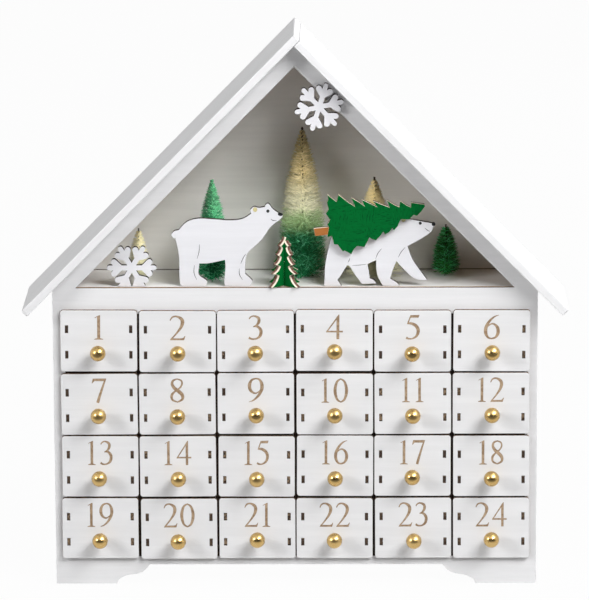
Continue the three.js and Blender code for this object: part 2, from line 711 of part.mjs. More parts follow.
function batteryCase() {
  const beyond = 5;
  const slotHalf = SWITCH_KNOB / 2 + SWITCH_TRAVEL / 2 + FIT;
  const groove = bayHalf + COVER_TONGUE + FIT;
  let body = block(-caseHalf, caseFront, caseBottom, caseHalf, caseBack, caseTop);
  const cuts = [
    block(-bayHalf, bayFront, bayBottom, bayHalf, caseBack + beyond, bayTop),
    block(-groove, grooveFront, caseBottom - beyond, groove, grooveBack, bayTop),
    block(-bayHalf, grooveFront, caseBottom - beyond, bayHalf, caseBack + beyond, bayTop),
    block(-bayHalf, bayFront, switchFloor, bayHalf, caseBack - CASE_WALL, caseTop - CASE_WALL),
    block(
      -slotHalf, caseBack - CASE_WALL - beyond, switchMiddle - SWITCH_KNOB / 2 - FIT,
      slotHalf, caseBack + beyond, switchMiddle + SWITCH_KNOB / 2 + FIT,
    ),
    block(-WIRE_HOLE, bayFront, bayTop - beyond, WIRE_HOLE, bayFront + WIRE_HOLE, switchMiddle),
    wireHole(caseFront - beyond, bayFront + beyond),
  ];
  for (const cut of cuts) body = body.subtract(cut);
  return named('battery_case', geometryOf(body), whitePlastic);
}

function batteryCover() {
  const half = bayHalf + COVER_TONGUE;
  const front = grooveFront + FIT;
  const ridgeHalf = bayHalf * 0.6;
  const RIDGES = 3;
  let body = block(-half, front, caseBottom, half, front + COVER_PLY, bayTop - FIT);
  for (let i = 0; i < RIDGES; i++) {
    const z = caseBottom + 5 + 2.5 * i;
    body = body.add(block(
      -ridgeHalf, front + COVER_PLY / 2, z, ridgeHalf, front + COVER_PLY + CASE_LIP / 2, z + 1,
    ));
  }
  return named('battery_cover', geometryOf(body), whitePlastic);
}

function batteryCell(name, side) {
  const profile = [
    [0, 0], [CELL_RADIUS, 0], [CELL_RADIUS, CELL_LENGTH], [CELL_RADIUS / 3, CELL_LENGTH],
    [CELL_RADIUS / 3, CELL_LENGTH + CELL_NUB], [0, CELL_LENGTH + CELL_NUB],
  ];
  const points = profile.map(([r, z]) => new THREE.Vector2(r, z));
  const mesh = named(name, new THREE.LatheGeometry(points, 16).rotateX(Math.PI / 2), blackPlastic);
  const nubUp = side < 0;
  if (!nubUp) mesh.rotation.x = Math.PI;
  mesh.position.set(side * cellX, cellY, nubUp ? cellBottom : cellTop);
  return mesh;
}

// A contact under each cell: a coned spring at the cell's flat end and a post at its nub.
// direction is 1 for contacts that point up from the bay's floor and -1 from its ceiling.
function contact(side, isSpring, direction, plateHalf) {
  const root = direction > 0 ? bayBottom + FIT : bayTop - FIT;
  const wide = isSpring ? CELL_RADIUS * 0.7 : CELL_RADIUS * 0.35;
  const narrow = isSpring ? CELL_RADIUS * 0.4 : CELL_RADIUS * 0.25;
  const height = CONTACT_PLATE + CONTACT_HEIGHT;
  const cone = new THREE.CylinderGeometry(narrow, wide, height - CONTACT_PLATE / 2, 10)
    .translate(0, height / 2 + CONTACT_PLATE / 4, 0)
    .rotateX(direction * Math.PI / 2)
    .translate(side * cellX, cellY, root);
  const z = [root, root + direction * CONTACT_PLATE].sort((a, b) => a - b);
  const plate = block(
    side * cellX - plateHalf, cellY - CELL_RADIUS * 0.8, z[0],
    side * cellX + plateHalf, cellY + CELL_RADIUS * 0.8, z[1],
  );
  return plate.add(solid(cone));
}

function contactBridge() {
  const half = CELL_RADIUS * 0.9;
  const z = bayBottom + FIT;
  const link = block(
    -cellX, cellY - CELL_RADIUS * 0.5, z, cellX, cellY + CELL_RADIUS * 0.5, z + CONTACT_PLATE,
  );
  const body = contact(-1, true, 1, half).add(contact(1, false, 1, half)).add(link);
  return named('contact_bridge', geometryOf(body), steel);
}

function switchSlider() {
  const back = caseBack - CASE_WALL - FIT;
  const rest = -SWITCH_TRAVEL / 2;
  const slab = block(
    rest - SLIDER_HALF, back - SLIDER_DEPTH, switchMiddle - SWITCH_BAY / 2 + FIT,
    rest + SLIDER_HALF, back, switchMiddle + SWITCH_BAY / 2 - FIT,
  );
  const knob = block(
    rest - SWITCH_KNOB / 2, back - SLIDER_DEPTH / 2, switchMiddle - SWITCH_KNOB / 2,
    rest + SWITCH_KNOB / 2, caseBack + SLIDER_PROUD, switchMiddle + SWITCH_KNOB / 2,
  );
  return named('switch_slider', geometryOf(slab.add(knob)), blackPlastic);
}

// String of lights: from the two terminals through the case's wall and the back panel, forward
// under the ridge, and down both slopes behind the front panel's bars, one bead after another.
function wireAlong(points, steps) {
  const path = new THREE.CatmullRomCurve3(points.map((p) => new THREE.Vector3(...p)),
    false, 'catmullrom', 0.2);
  const section = new THREE.Shape();
  section.absarc(0, 0, WIRE / 2, 0, 2 * Math.PI, false);
  return solid(new THREE.ExtrudeGeometry(section, {
    extrudePath: path, steps, curveSegments: 3, bevelEnabled: false,
  }));
}

function ledString() {
  const stringY = INNER_FRONT + LED_RADIUS;
  const stringZ = (x) => roofUnderside(x) - LED_SINK / Math.cos(ROOF_PITCH);
  const end = windowHalf - LED_SINK;
  const leadZ = stringZ(0);
  const chamberY = bayFront + WIRE_HOLE / 2;
  let body = wireAlong([
    [0, chamberY, wireHoleHeight], [0, INNER_BACK - 6, wireHoleHeight],
    [0, INNER_BACK - 12, leadZ - 3], [0, INNER_BACK - 18, leadZ], [0, stringY, leadZ],
  ], 14);
  for (const side of [-1, 1]) {
    const turn = 6;
    body = body.add(wireAlong([
      [0, stringY + turn, leadZ], [side * 1.5, stringY + 1, leadZ - 0.5],
      [side * turn, stringY, stringZ(turn)], [side * end, stringY, stringZ(end)],
    ], 8));
    for (let i = 0; i < LEDS_PER_SIDE; i++) {
      const x = side * end * (i + 1) / LEDS_PER_SIDE - side * LED_RADIUS;
      const bead = new THREE.SphereGeometry(LED_RADIUS, 6, 4).scale(1.4, 1, 1)
        .rotateY(side * ROOF_PITCH).translate(x, stringY, stringZ(x));
      body = body.add(solid(bead));
    }
    const isSpring = side > 0;
    const plate = contact(side, isSpring, -1, CELL_RADIUS * 0.8);
    const tail = wireAlong([
      [0, chamberY, wireHoleHeight], [side * LEAD_SPREAD, chamberY, switchFloor],
      [side * LEAD_SPREAD, chamberY, bayTop - FIT], [side * WIRE_HOLE / 2, chamberY, bayTop - WIRE],
      [side * cellX, chamberY + WIRE, bayTop - WIRE],
    ], 9);
    body = body.add(plate).add(tail);
  }
  return named('led_string', geometryOf(body), warmLight);
}

// The whole house
const house = new THREE.Group();
house.add(
  frontPanel(), backPanel(),
  sideWall('side_wall_left', -1), sideWall('side_wall_right', 1),
  roofBoard('roof_left', -1), roofBoard('roof_right', 1),
  baseBoard(), stageFloor(),
);
SHELF_Z.forEach((z, i) => house.add(shelf(`shelf_${i + 1}`, z)));
DIVIDER_X.forEach((x, i) => house.add(divider(`divider_${i + 1}`, x)));
house.add(drawers());
house.add(
  bear('bear_standing', BEAR_STANDING, STANDING_X),
  bear('bear_walking', BEAR_WALKING, WALKING_X),
  carriedTree(WALKING_X),
  slottedTree(SLOT_TREE_X, PANEL + SLOT_TREE_SETBACK),
  snowflake('snowflake_standing', 0, STANDING_FLAKE_X, bearFront,
    onStage + snowflakeFoot(), snowflakeFoot()),
  snowflake('snowflake_hanging', HANGING_FLAKE_TURN, HANGING_FLAKE_X, -FIT - SNOWFLAKE_PLY,
    windowTop - HANGING_FLAKE_DROP, 0),
  trees(),
);
house.add(
  batteryCase(), batteryCover(), switchSlider(), contactBridge(),
  batteryCell('battery_cell_1', -1), batteryCell('battery_cell_2', 1),
  ledString(),
);

// Height of the standing snowflake's middle above its trimmed foot
function snowflakeFoot() {
  return (SNOWFLAKE_RADIUS - SNOWFLAKE_LOBE) * Math.sin(Math.PI / 3) + SNOWFLAKE_LOBE
    - SNOWFLAKE_TRIM;
}

// Origin under the middle of the whole object
const calendar = new THREE.Group();
calendar.add(house);
const bounds = new THREE.Box3().setFromObject(calendar, true);
const centre = bounds.getCenter(new THREE.Vector3());
house.position.set(-centre.x, -centre.y, -bounds.min.z);

export default calendar;
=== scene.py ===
# %% [markdown]
# # An advent calendar house of painted plywood
#
# The real object is a laser-cut plywood house. Twenty-four small drawers fill its lower part, and a
# lit stage with bears, snowflakes and bottle-brush trees fills its gable. The frame of CAD parts
# gives every size and place, and this lesson dresses it: board by board, finish by finish.

# %% Load the frame
import math

import bmesh
import bpy
import numpy as np
from mathutils import Euler, Matrix, Vector
from mathutils.geometry import delaunay_2d_cdt


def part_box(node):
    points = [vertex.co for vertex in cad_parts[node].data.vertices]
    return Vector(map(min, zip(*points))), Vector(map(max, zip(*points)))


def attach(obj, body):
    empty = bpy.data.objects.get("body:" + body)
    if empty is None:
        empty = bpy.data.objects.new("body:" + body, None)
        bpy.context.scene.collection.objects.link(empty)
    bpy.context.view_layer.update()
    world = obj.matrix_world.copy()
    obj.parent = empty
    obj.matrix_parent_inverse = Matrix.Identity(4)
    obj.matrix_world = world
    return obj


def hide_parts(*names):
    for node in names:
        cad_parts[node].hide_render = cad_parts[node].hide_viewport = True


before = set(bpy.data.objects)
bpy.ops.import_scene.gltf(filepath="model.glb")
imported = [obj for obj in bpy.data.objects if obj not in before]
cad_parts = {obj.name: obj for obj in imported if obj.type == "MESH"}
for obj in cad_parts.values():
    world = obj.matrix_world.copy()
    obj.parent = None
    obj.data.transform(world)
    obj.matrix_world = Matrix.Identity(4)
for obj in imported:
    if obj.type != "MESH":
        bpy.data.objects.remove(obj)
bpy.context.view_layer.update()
scene = bpy.context.scene
MM = 0.001
FACE_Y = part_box("front_panel")[0].y  # the front panel's face
STAGE_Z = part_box("stage_floor")[1].z
print("parts in the frame:", len(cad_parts))

# %% [markdown]
# ## The camera
#
# The photograph was taken with a long lens from a little above. A long lens keeps the rows of drawers
# almost parallel. The view is built the way a tripod works: turn, tilt, then roll.

# %% Camera
CAMERA_DISTANCE = 3.287
CAMERA_TILT = math.radians(12.5)  # looking down
CAMERA_TURN = math.radians(0.63)
CAMERA_ROLL = math.radians(-0.24)
CAMERA_AIM = Vector((-0.0003, FACE_Y, 0.2058))
CAMERA_LENS = 281.7

turn = Matrix.Rotation(CAMERA_TURN, 3, "Z")
tilt = Matrix.Rotation(math.pi / 2 - CAMERA_TILT, 3, "X")
roll = Matrix.Rotation(CAMERA_ROLL, 3, "Z")
view = turn @ tilt @ roll
camera = bpy.data.objects.new("camera", bpy.data.cameras.new("camera"))
camera.data.lens = CAMERA_LENS
camera.data.sensor_width = 36
camera.data.clip_end = 50
camera.matrix_world = Matrix.LocRotScale(
    CAMERA_AIM + view.col[2] * CAMERA_DISTANCE, view.to_quaternion(), None
)
scene.collection.objects.link(camera)
scene.camera = camera
print("camera height in metres:", round(camera.matrix_world.translation.z, 3))

# %% [markdown]
# ## Shader tools
#
# Every finish below is a small network of nodes. A few helpers keep the networks short: one adds a
# node and fills its inputs, one starts a material, one starts a group that materials can share, and
# the rest stand for sums, noises and coordinates that most finishes need.

# %% Node helpers
def add(tree, kind, sockets=None, **settings):
    """Adds a node, sets it up, and fills its inputs with plain values or with links."""
    node = tree.nodes.new(kind)
    for key, value in settings.items():
        setattr(node, key, value)
    for key, value in (sockets or {}).items():
        if isinstance(value, bpy.types.NodeSocket):
            tree.links.new(value, node.inputs[key])
        else:
            node.inputs[key].default_value = value
    return node


def calculate(tree, operation, *values):
    sockets = dict(enumerate(values))
    return add(tree, "ShaderNodeMath", sockets, operation=operation).outputs[0]


def blend_colours(tree, factor, first, second):
    sockets = {0: factor, 6: first, 7: second}
    return add(tree, "ShaderNodeMix", sockets, data_type="RGBA").outputs[2]


def remap(tree, value, low, high, new_low=0.0, new_high=1.0):
    sockets = {0: value, 1: low, 2: high, 3: new_low, 4: new_high}
    return add(tree, "ShaderNodeMapRange", sockets, interpolation_type="SMOOTHSTEP").outputs[0]


def noise(tree, place, scale, detail=2.0, **more):
    sockets = {"Vector": place, "Scale": scale, "Detail": detail, **more}
    return add(tree, "ShaderNodeTexNoise", sockets).outputs[0]


def axes(tree, kind):
    """The X, Y and Z of one kind of coordinates: Object is the piece's own, Normal its surface's."""
    source = add(tree, "ShaderNodeTexCoord").outputs[kind]
    return add(tree, "ShaderNodeSeparateXYZ", {0: source}).outputs


def feed(tree, node, **values):
    """Links values to a node's inputs. Base_Color stands for the input Base Color."""
    for key, value in values.items():
        tree.links.new(value, node.inputs[key.replace("_", " ")])


def shade(colour, factor):
    return (*(channel * factor for channel in colour[:3]), 1)


# %% Materials and groups
def new_material(name, colour, roughness=0.5, metallic=0.0, **extra):
    """A material with a Principled shader, and that material's node tree and shader."""
    material = bpy.data.materials.new(name)
    material.use_nodes = True
    shader = material.node_tree.nodes["Principled BSDF"]
    shader.inputs["Base Color"].default_value = colour
    shader.inputs["Roughness"].default_value = roughness
    shader.inputs["Metallic"].default_value = metallic
    for key, value in extra.items():
        shader.inputs[key.replace("_", " ")].default_value = value
    material.diffuse_color = colour
    return material, material.node_tree, shader


def new_group(name, inputs, outputs):
    """A shader group with named inputs and outputs."""
    group = bpy.data.node_groups.new(name, "ShaderNodeTree")
    kinds = {"vector": "NodeSocketVector", "value": "NodeSocketFloat", "colour": "NodeSocketColor"}
    for label, (kind, default) in inputs.items():
        socket = group.interface.new_socket(label, in_out="INPUT", socket_type=kinds[kind])
        socket.default_value = default
    for label, kind in outputs.items():
        group.interface.new_socket(label, in_out="OUTPUT", socket_type=kinds[kind])
    return group, group.nodes.new("NodeGroupInput").outputs, group.nodes.new("NodeGroupOutput")


def use_group(tree, group, **sockets):
    named = {key.replace("_", " "): value for key, value in sockets.items()}
    return add(tree, "ShaderNodeGroup", named, node_tree=group).outputs


PATTERN_SHIFT = (1.7, 0.9, 2.3)  # in metres, times a number from 0 to 1 for each piece


def own_coordinates(tree):
    """Coordinates that move with the piece, with a shift of its own for each piece."""
    place = add(tree, "ShaderNodeTexCoord").outputs["Object"]
    number = add(tree, "ShaderNodeObjectInfo").outputs["Random"]
    shift = add(tree, "ShaderNodeVectorMath", {0: PATTERN_SHIFT, 3: number}, operation="SCALE")
    return add(tree, "ShaderNodeVectorMath", {0: place, 1: shift.outputs[0]}).outputs[0]


def raise_surface(tree, shader, height, distance):
    """Lets a height map catch the light. distance is its full depth in metres."""
    bump = add(tree, "ShaderNodeBump", {"Height": height, "Distance": distance, "Strength": 1.0})
    feed(tree, shader, Normal=bump.outputs["Normal"])


print("shader tools:", [tool.__name__ for tool in (add, calculate, noise, new_material, new_group)])


# %% [markdown]
# ## Grain under the paint
#
# One coat of paint on plywood lets the grain show as long, faint ridges. Noise that is stretched
# along one direction looks like grain, and a turn lets the same group serve sloping boards. Finer
# noise on top gives the orange-peel skin that a spray gun leaves.

# %% Group: painted grain
GRAIN_STRETCH = (0.09, 1, 1.6)  # the smallest number is along the grain
GRAIN_SHARE = 0.7  # of the height. The skin makes up the rest
SKIN_FINENESS = 14.0
grain_group, given, result = new_group(
    "painted_grain",
    {"Vector": ("vector", (0, 0, 0)), "Turn": ("vector", (0, 0, 0)), "Size": ("value", 90.0)},
    {"Height": "value", "Streaks": "value", "Speckle": "value"},
)
tree = grain_group
turned = add(tree, "ShaderNodeVectorRotate", {"Vector": given["Vector"], "Rotation": given["Turn"]},
             rotation_type="EULER_XYZ")
stretched = add(tree, "ShaderNodeMapping", {"Vector": turned.outputs[0], "Scale": GRAIN_STRETCH})
fibres = noise(tree, stretched.outputs[0], given["Size"], 5.0, Roughness=0.62)
skin = noise(tree, given["Vector"], calculate(tree, "MULTIPLY", given["Size"], SKIN_FINENESS))
streaks = remap(tree, fibres, 0.38, 0.66)
speckle = remap(tree, skin, 0.35, 0.7)
height = calculate(tree, "MULTIPLY_ADD", streaks, GRAIN_SHARE,
                   calculate(tree, "MULTIPLY", speckle, 1 - GRAIN_SHARE))
feed(tree, result, Height=height, Streaks=streaks, Speckle=speckle)
print("painted grain:", len(tree.nodes), "nodes")

# %% [markdown]
# ## Edges that a laser cut
#
# The laser chars the edge of each board brown, while the painted face stays clean. A normal that
# leaves the face's own direction marks an edge, and bands across the board show its plies.

# %% Group: cut edge
edge_group, given, result = new_group(
    "cut_edge",
    {
        "Vector": ("vector", (0, 0, 0)), "Place": ("vector", (0, 0, 0)),
        "Normal": ("vector", (0, 0, 1)), "Face": ("vector", (0, 1, 0)),
        "Middle": ("value", 0.0), "Ply": ("value", 0.001),
        "Bands": ("value", 0.5), "Limit": ("value", 0.85),
        "Wood": ("colour", (0.4, 0.25, 0.14, 1)), "Char": ("colour", (0.03, 0.015, 0.01, 1)),
    },
    {"Edge": "value", "Colour": "colour"},
)
tree = edge_group


def along_face(tree, vector):
    sockets = {0: vector, 1: given["Face"]}
    return add(tree, "ShaderNodeVectorMath", sockets, operation="DOT_PRODUCT").outputs["Value"]


facing = calculate(tree, "ABSOLUTE", along_face(tree, given["Normal"]))
on_edge = remap(tree, calculate(tree, "SUBTRACT", given["Limit"], facing), 0.0, 0.2)
through = calculate(tree, "SUBTRACT", along_face(tree, given["Place"]), given["Middle"])
off_middle = calculate(tree, "DIVIDE", calculate(tree, "ABSOLUTE", through), given["Ply"])
outer_ply = remap(tree, off_middle, 0.38, 0.62)
soot = remap(tree, noise(tree, given["Vector"], 600.0, 3.0), 0.35, 0.65)
unburnt = add(tree, "ShaderNodeMix", {0: given["Bands"], 2: soot, 3: outer_ply}).outputs[0]
feed(tree, result, Edge=on_edge, Colour=blend_colours(tree, unburnt, given["Char"], given["Wood"]))
print("cut edge:", len(tree.nodes), "nodes")

# %% [markdown]
# ## Paint
#
# One function paints every board. It tints the grain's hollows a little darker, makes the paint
# smoother and rougher from spot to spot, and burns the edges that were cut and not painted over.

# %% Paint
HOUSE_WHITE = (0.76, 0.76, 0.77, 1)
FIGURE_WHITE = (0.75, 0.75, 0.78, 1)
PLY_WOOD = (0.45, 0.28, 0.13, 1)
CHAR = (0.028, 0.014, 0.009, 1)
FACING_FRONT = (0, 1, 0)
PLIES = 3
HOLLOW_TONE = 0.955  # of the paint's colour, in the grain's hollows
PAINT_ROUGHNESS = (0.42, 0.62)
SAWN_ROUGHER = 0.3


def cut_edge(tree, shifted, face, middle, thickness, bands, wood, char, limit=0.85):
    """The mask and the colour of a board's sawn edge. middle and thickness are along face, in mm."""
    own = add(tree, "ShaderNodeTexCoord").outputs
    return use_group(tree, edge_group, Vector=shifted, Place=own["Object"], Normal=own["Normal"],
                     Face=face, Middle=middle * MM, Ply=thickness / PLIES * MM, Bands=bands,
                     Wood=wood, Char=char, Limit=limit)


def paint(name, colour, turn=0.0, face=None, middle=0.0, thickness=3.0, bands=0.4, wood=PLY_WOOD,
          char=CHAR, depth=0.05, size=90.0, cuts=None, bare=None):
    """Paint over plywood. face is the painted side's direction, and its cut edges stay bare. cuts
    makes a mask of where that holds. bare makes a mask of what takes the colour wood: wood that was
    never painted, or painted shade."""
    material, tree, shader = new_material(name, colour, 0.5)
    place = own_coordinates(tree)
    grain = use_group(tree, grain_group, Vector=place, Turn=(0, turn, 0), Size=size)
    tone = blend_colours(tree, grain["Streaks"], shade(colour, HOLLOW_TONE), colour)
    rough = remap(tree, grain["Speckle"], 0, 1, *PAINT_ROUGHNESS)
    if face:
        edge = cut_edge(tree, place, face, middle, thickness, bands, wood, char)
        cut = calculate(tree, "MULTIPLY", edge["Edge"], cuts(tree)) if cuts else edge["Edge"]
        tone = blend_colours(tree, cut, tone, edge["Colour"])
        rough = calculate(tree, "MULTIPLY_ADD", cut, SAWN_ROUGHER, rough)
    if bare:
        wood_or_shade_tone = blend_colours(tree, grain["Streaks"], shade(wood, 0.8), wood)
        tone = blend_colours(tree, bare(tree), tone, wood_or_shade_tone)
    feed(tree, shader, Base_Color=tone, Roughness=rough)
    raise_surface(tree, shader, grain["Height"], depth * MM)
    return material


# %% [markdown]
# ## What the paint didn't reach, and a painted shade line
#
# On the real house the paint stops at some places: under the roof and behind the front panel. A
# thin dark line just above the stage's floor is painted shade, for the crease where floor and wall
# meet. A mask is a number from 0 to 1 over the surface. Made from the place and the direction of the
# surface, it fits any board, and no picture has to be painted by hand.

# %% Masks for bare wood
ROOM_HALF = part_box("side_wall_right")[1].x
JOINT_SHADE_LINE = (0.8 * MM, 0.4 * MM)  # half the dark line's width, with and without its soft rim


def within_room(tree, across):
    """1 between the side walls."""
    return remap(tree, calculate(tree, "ABSOLUTE", across), ROOM_HALF, ROOM_HALF - 1 * MM)


def inside_roof(tree):
    """The roof's underside within the room was never painted."""
    across, depth, _ = axes(tree, "Object")
    downward = remap(tree, axes(tree, "Normal")["Z"], -0.4, -0.6)
    mask = calculate(tree, "MULTIPLY", downward, remap(tree, depth, FACE_Y, FACE_Y + 1 * MM))
    return calculate(tree, "MULTIPLY", mask, within_room(tree, across))


def behind_front(tree):
    """The front panel's back was never painted either."""
    return remap(tree, axes(tree, "Normal")["Y"], 0.6, 0.8)


def within_walls(tree):
    """Saw cuts inside the front's outline. Its outer edges were painted over."""
    return within_room(tree, axes(tree, "Object")["X"])


def floor_joint(tree):
    """Painted shade: a thin dark line on the wall just above the stage's floor, for the crease between
    floor and wall.
    """
    from_floor = calculate(tree, "SUBTRACT", axes(tree, "Object")["Z"], STAGE_Z)
    line = remap(tree, calculate(tree, "ABSOLUTE", from_floor), *JOINT_SHADE_LINE)
    return calculate(tree, "MULTIPLY", line, remap(tree, axes(tree, "Normal")["Y"], -0.6, -0.8))


print("room width in mm:", round(2 * ROOM_HALF / MM, 1))


# %% Paints of the house
ROOF_PITCH = math.radians(45.55)
# The wall and the stage are painted lighter than the house's white, and the wall is a little warmer.
# The lightness is painted light, for the light that the gable room's wall and floor get.
WALL_WHITE_LIT = (0.88, 0.865, 0.83, 1)
STAGE_WHITE_LIT = (0.93, 0.93, 0.92, 1)
DRAWER_WHITE = (0.74, 0.74, 0.75, 1)
JOINT_SHADE = (0.22, 0.19, 0.16, 1)
ROOF_WOOD = (0.28, 0.14, 0.04, 1)
house_paint = paint("house_paint", HOUSE_WHITE)
# The wall's paint also carries painted shade, a thin dark line just above the stage's floor.
lit_wall_paint = paint("lit_wall_paint", WALL_WHITE_LIT, bare=floor_joint, wood=JOINT_SHADE)
lit_stage_paint = paint("lit_stage_paint", STAGE_WHITE_LIT)
front_paint = paint("front_paint", HOUSE_WHITE, face=FACING_FRONT, middle=FACE_Y / MM + 0.8,
                    thickness=10, bands=0.85, char=(0.05, 0.02, 0.015, 1),
                    cuts=within_walls, bare=behind_front)
left_roof_paint = paint("left_roof_paint", HOUSE_WHITE, turn=ROOF_PITCH,
                        bare=inside_roof, wood=ROOF_WOOD)
right_roof_paint = paint("right_roof_paint", HOUSE_WHITE, turn=-ROOF_PITCH,
                         bare=inside_roof, wood=ROOF_WOOD)
drawer_paint = paint("drawer_paint", DRAWER_WHITE, face=FACING_FRONT, middle=1.5, bands=0.0,
                     wood=(0.20, 0.11, 0.06, 1))
figure_paint = paint("figure_paint", FIGURE_WHITE, face=FACING_FRONT, middle=FACE_Y / MM + 7,
                     bands=0.0, depth=0.01, wood=(0.04, 0.02, 0.013, 1),
                     char=(0.008, 0.005, 0.004, 1))
print("paints:", [material.name for material in bpy.data.materials])


# %% [markdown]
# ## Bare fibreboard
#
# The crate and the trays are unpainted, and soot from the laser lies on their edges. They share the
# grain and the cut edge of the painted boards, in other colours, and each board's own random number
# says how sooty its edges are.

# %% Bare boards
def bare_board(name, wood, char, size):
    """Unpainted board whose fibres run every way, with soot from the laser."""
    material, tree, shader = new_material(name, wood, 0.85)
    place = own_coordinates(tree)
    grain = use_group(tree, grain_group, Vector=place, Size=size)
    tone = blend_colours(tree, grain["Streaks"], shade(wood, 0.72), wood)
    edge = cut_edge(tree, place, FACING_FRONT, 0, 2, 0.0, shade(wood, 0.5), char)
    front = calculate(tree, "SUBTRACT", 1.0, edge["Edge"])
    number = add(tree, "ShaderNodeObjectInfo").outputs["Random"]
    burnt = blend_colours(tree, remap(tree, number, 0.3, 0.9), shade(char, 1.3), edge["Colour"])
    feed(tree, shader, Base_Color=blend_colours(tree, front, tone, burnt))
    raise_surface(tree, shader, grain["Height"], 0.06 * MM)
    return material


crate_board = bare_board("crate_board", (0.20, 0.12, 0.075, 1), (0.02, 0.011, 0.008, 1), 160.0)
tray_board = bare_board("tray_board", (0.50, 0.34, 0.20, 1), (0.035, 0.02, 0.012, 1), 120.0)
print("bare boards:", crate_board.name, tray_board.name)

# %% [markdown]
# ## The house's boards
#
# The CAD boards have the right size and joints, so they stay. Real boards never have knife-sharp
# corners, though: a Weld modifier joins the loose corners of the imported mesh, and a narrow Bevel
# gives each painted edge a soft line of light.

# %% Dress the house
def bevel_edges(obj, width, segments, angle):
    """Rounds the edges that turn by more than angle degrees. width is in millimetres."""
    bevel = obj.modifiers.new("bevel", "BEVEL")
    bevel.width = width * MM
    bevel.segments = segments
    bevel.limit_method = "ANGLE"
    bevel.angle_limit = math.radians(angle)
    return obj


def finish_node(name, material, width=0.0):
    """Finishes a CAD part, and rounds its edges where a width in millimetres is given."""
    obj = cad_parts[name]
    obj.data.materials.clear()
    obj.data.materials.append(material)
    if width:
        obj.modifiers.new("weld", "WELD").merge_threshold = 0.001 * MM
        bevel_edges(obj, width, 2, 35)


house_boards = {
    "side_wall_left": (house_paint, 0.5), "side_wall_right": (house_paint, 0.5),
    "base_board": (house_paint, 0.5), "back_panel": (lit_wall_paint, 0.5),
    "stage_floor": (lit_stage_paint, 0.5), "front_panel": (front_paint, 0.3),
    "roof_left": (left_roof_paint, 0.6), "roof_right": (right_roof_paint, 0.6),
}
for name, (material, width) in house_boards.items():
    finish_node(name, material, width)
crate = [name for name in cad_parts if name.startswith(("shelf_", "divider_"))]
for name in crate:
    finish_node(name, crate_board)
print("house boards:", len(house_boards), "crate boards:", len(crate))


# %% [markdown]
# ## New pieces
#
# A piece that replaces a CAD part is a mesh of its own. Each one rides on the body that carries it,
# so it moves when that body moves.

# %% Piece helpers
def hang(obj, body, replaced=()):
    """Hangs a piece on its body, and hides the CAD parts that it replaces."""
    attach(obj, body)
    if replaced:
        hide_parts(*replaced)
    return obj


def dress(obj, material, body, replaced=()):
    """Finishes a piece and hangs it on its body."""
    obj.data.materials.append(material)
    return hang(obj, body, replaced)


def edit_mesh(obj, change):
    """Opens a piece's mesh, lets change work on it, and writes it back."""
    edit = bmesh.new()
    edit.from_mesh(obj.data)
    change(edit)
    edit.to_mesh(obj.data)
    edit.free()
    return obj


def mend_normals(obj):
    """Turns every face of a closed mesh outwards."""
    return edit_mesh(obj, lambda edit: bmesh.ops.recalc_face_normals(edit, faces=edit.faces))


def place_mesh(name, mesh, location=(0, 0, 0)):
    """A piece with that mesh. Pieces that are alike share one."""
    obj = bpy.data.objects.new(name, mesh)
    obj.location = location
    scene.collection.objects.link(obj)
    return obj


def new_piece(name, vertices, faces, location=(0, 0, 0), smooth=False):
    """A piece with a mesh of its own, from points in metres around its location."""
    mesh = bpy.data.meshes.new(name)
    mesh.from_pydata([tuple(v) for v in vertices], [], faces)
    if smooth:
        mesh.shade_smooth()
    return place_mesh(name, mesh, location)


# %% Smooth curves
def smooth_path(points, steps):
    """A smooth curve through the points. Each may carry more than its place, such as a width."""
    ends = np.array([points[0], *points, points[-1]], float)
    t = np.linspace(0, 1, steps, endpoint=False)[:, None]
    spans = []
    for a, b, c, d in zip(ends, ends[1:], ends[2:], ends[3:]):
        cubic = 3 * b - a - 3 * c + d
        square = 2 * a - 5 * b + 4 * c - d
        spans.append((2 * b + (c - a) * t + square * t**2 + cubic * t**3) / 2)
    return np.vstack([*spans, ends[-1:]])


print("an arch of 3 points becomes", len(smooth_path([(0, 0), (1, 1), (2, 0)], 4)), "points")


# %% [markdown]
# ## Numbers engraved in the drawers
#
# The numbers are plain book figures with thick and thin strokes. Each is drawn in millimetres on a
# line at height 0: a stroke is a curve whose points carry half its thickness, and a plate is a
# straight-sided shape such as a serif. Overlapping shapes are allowed, because they are merged later.

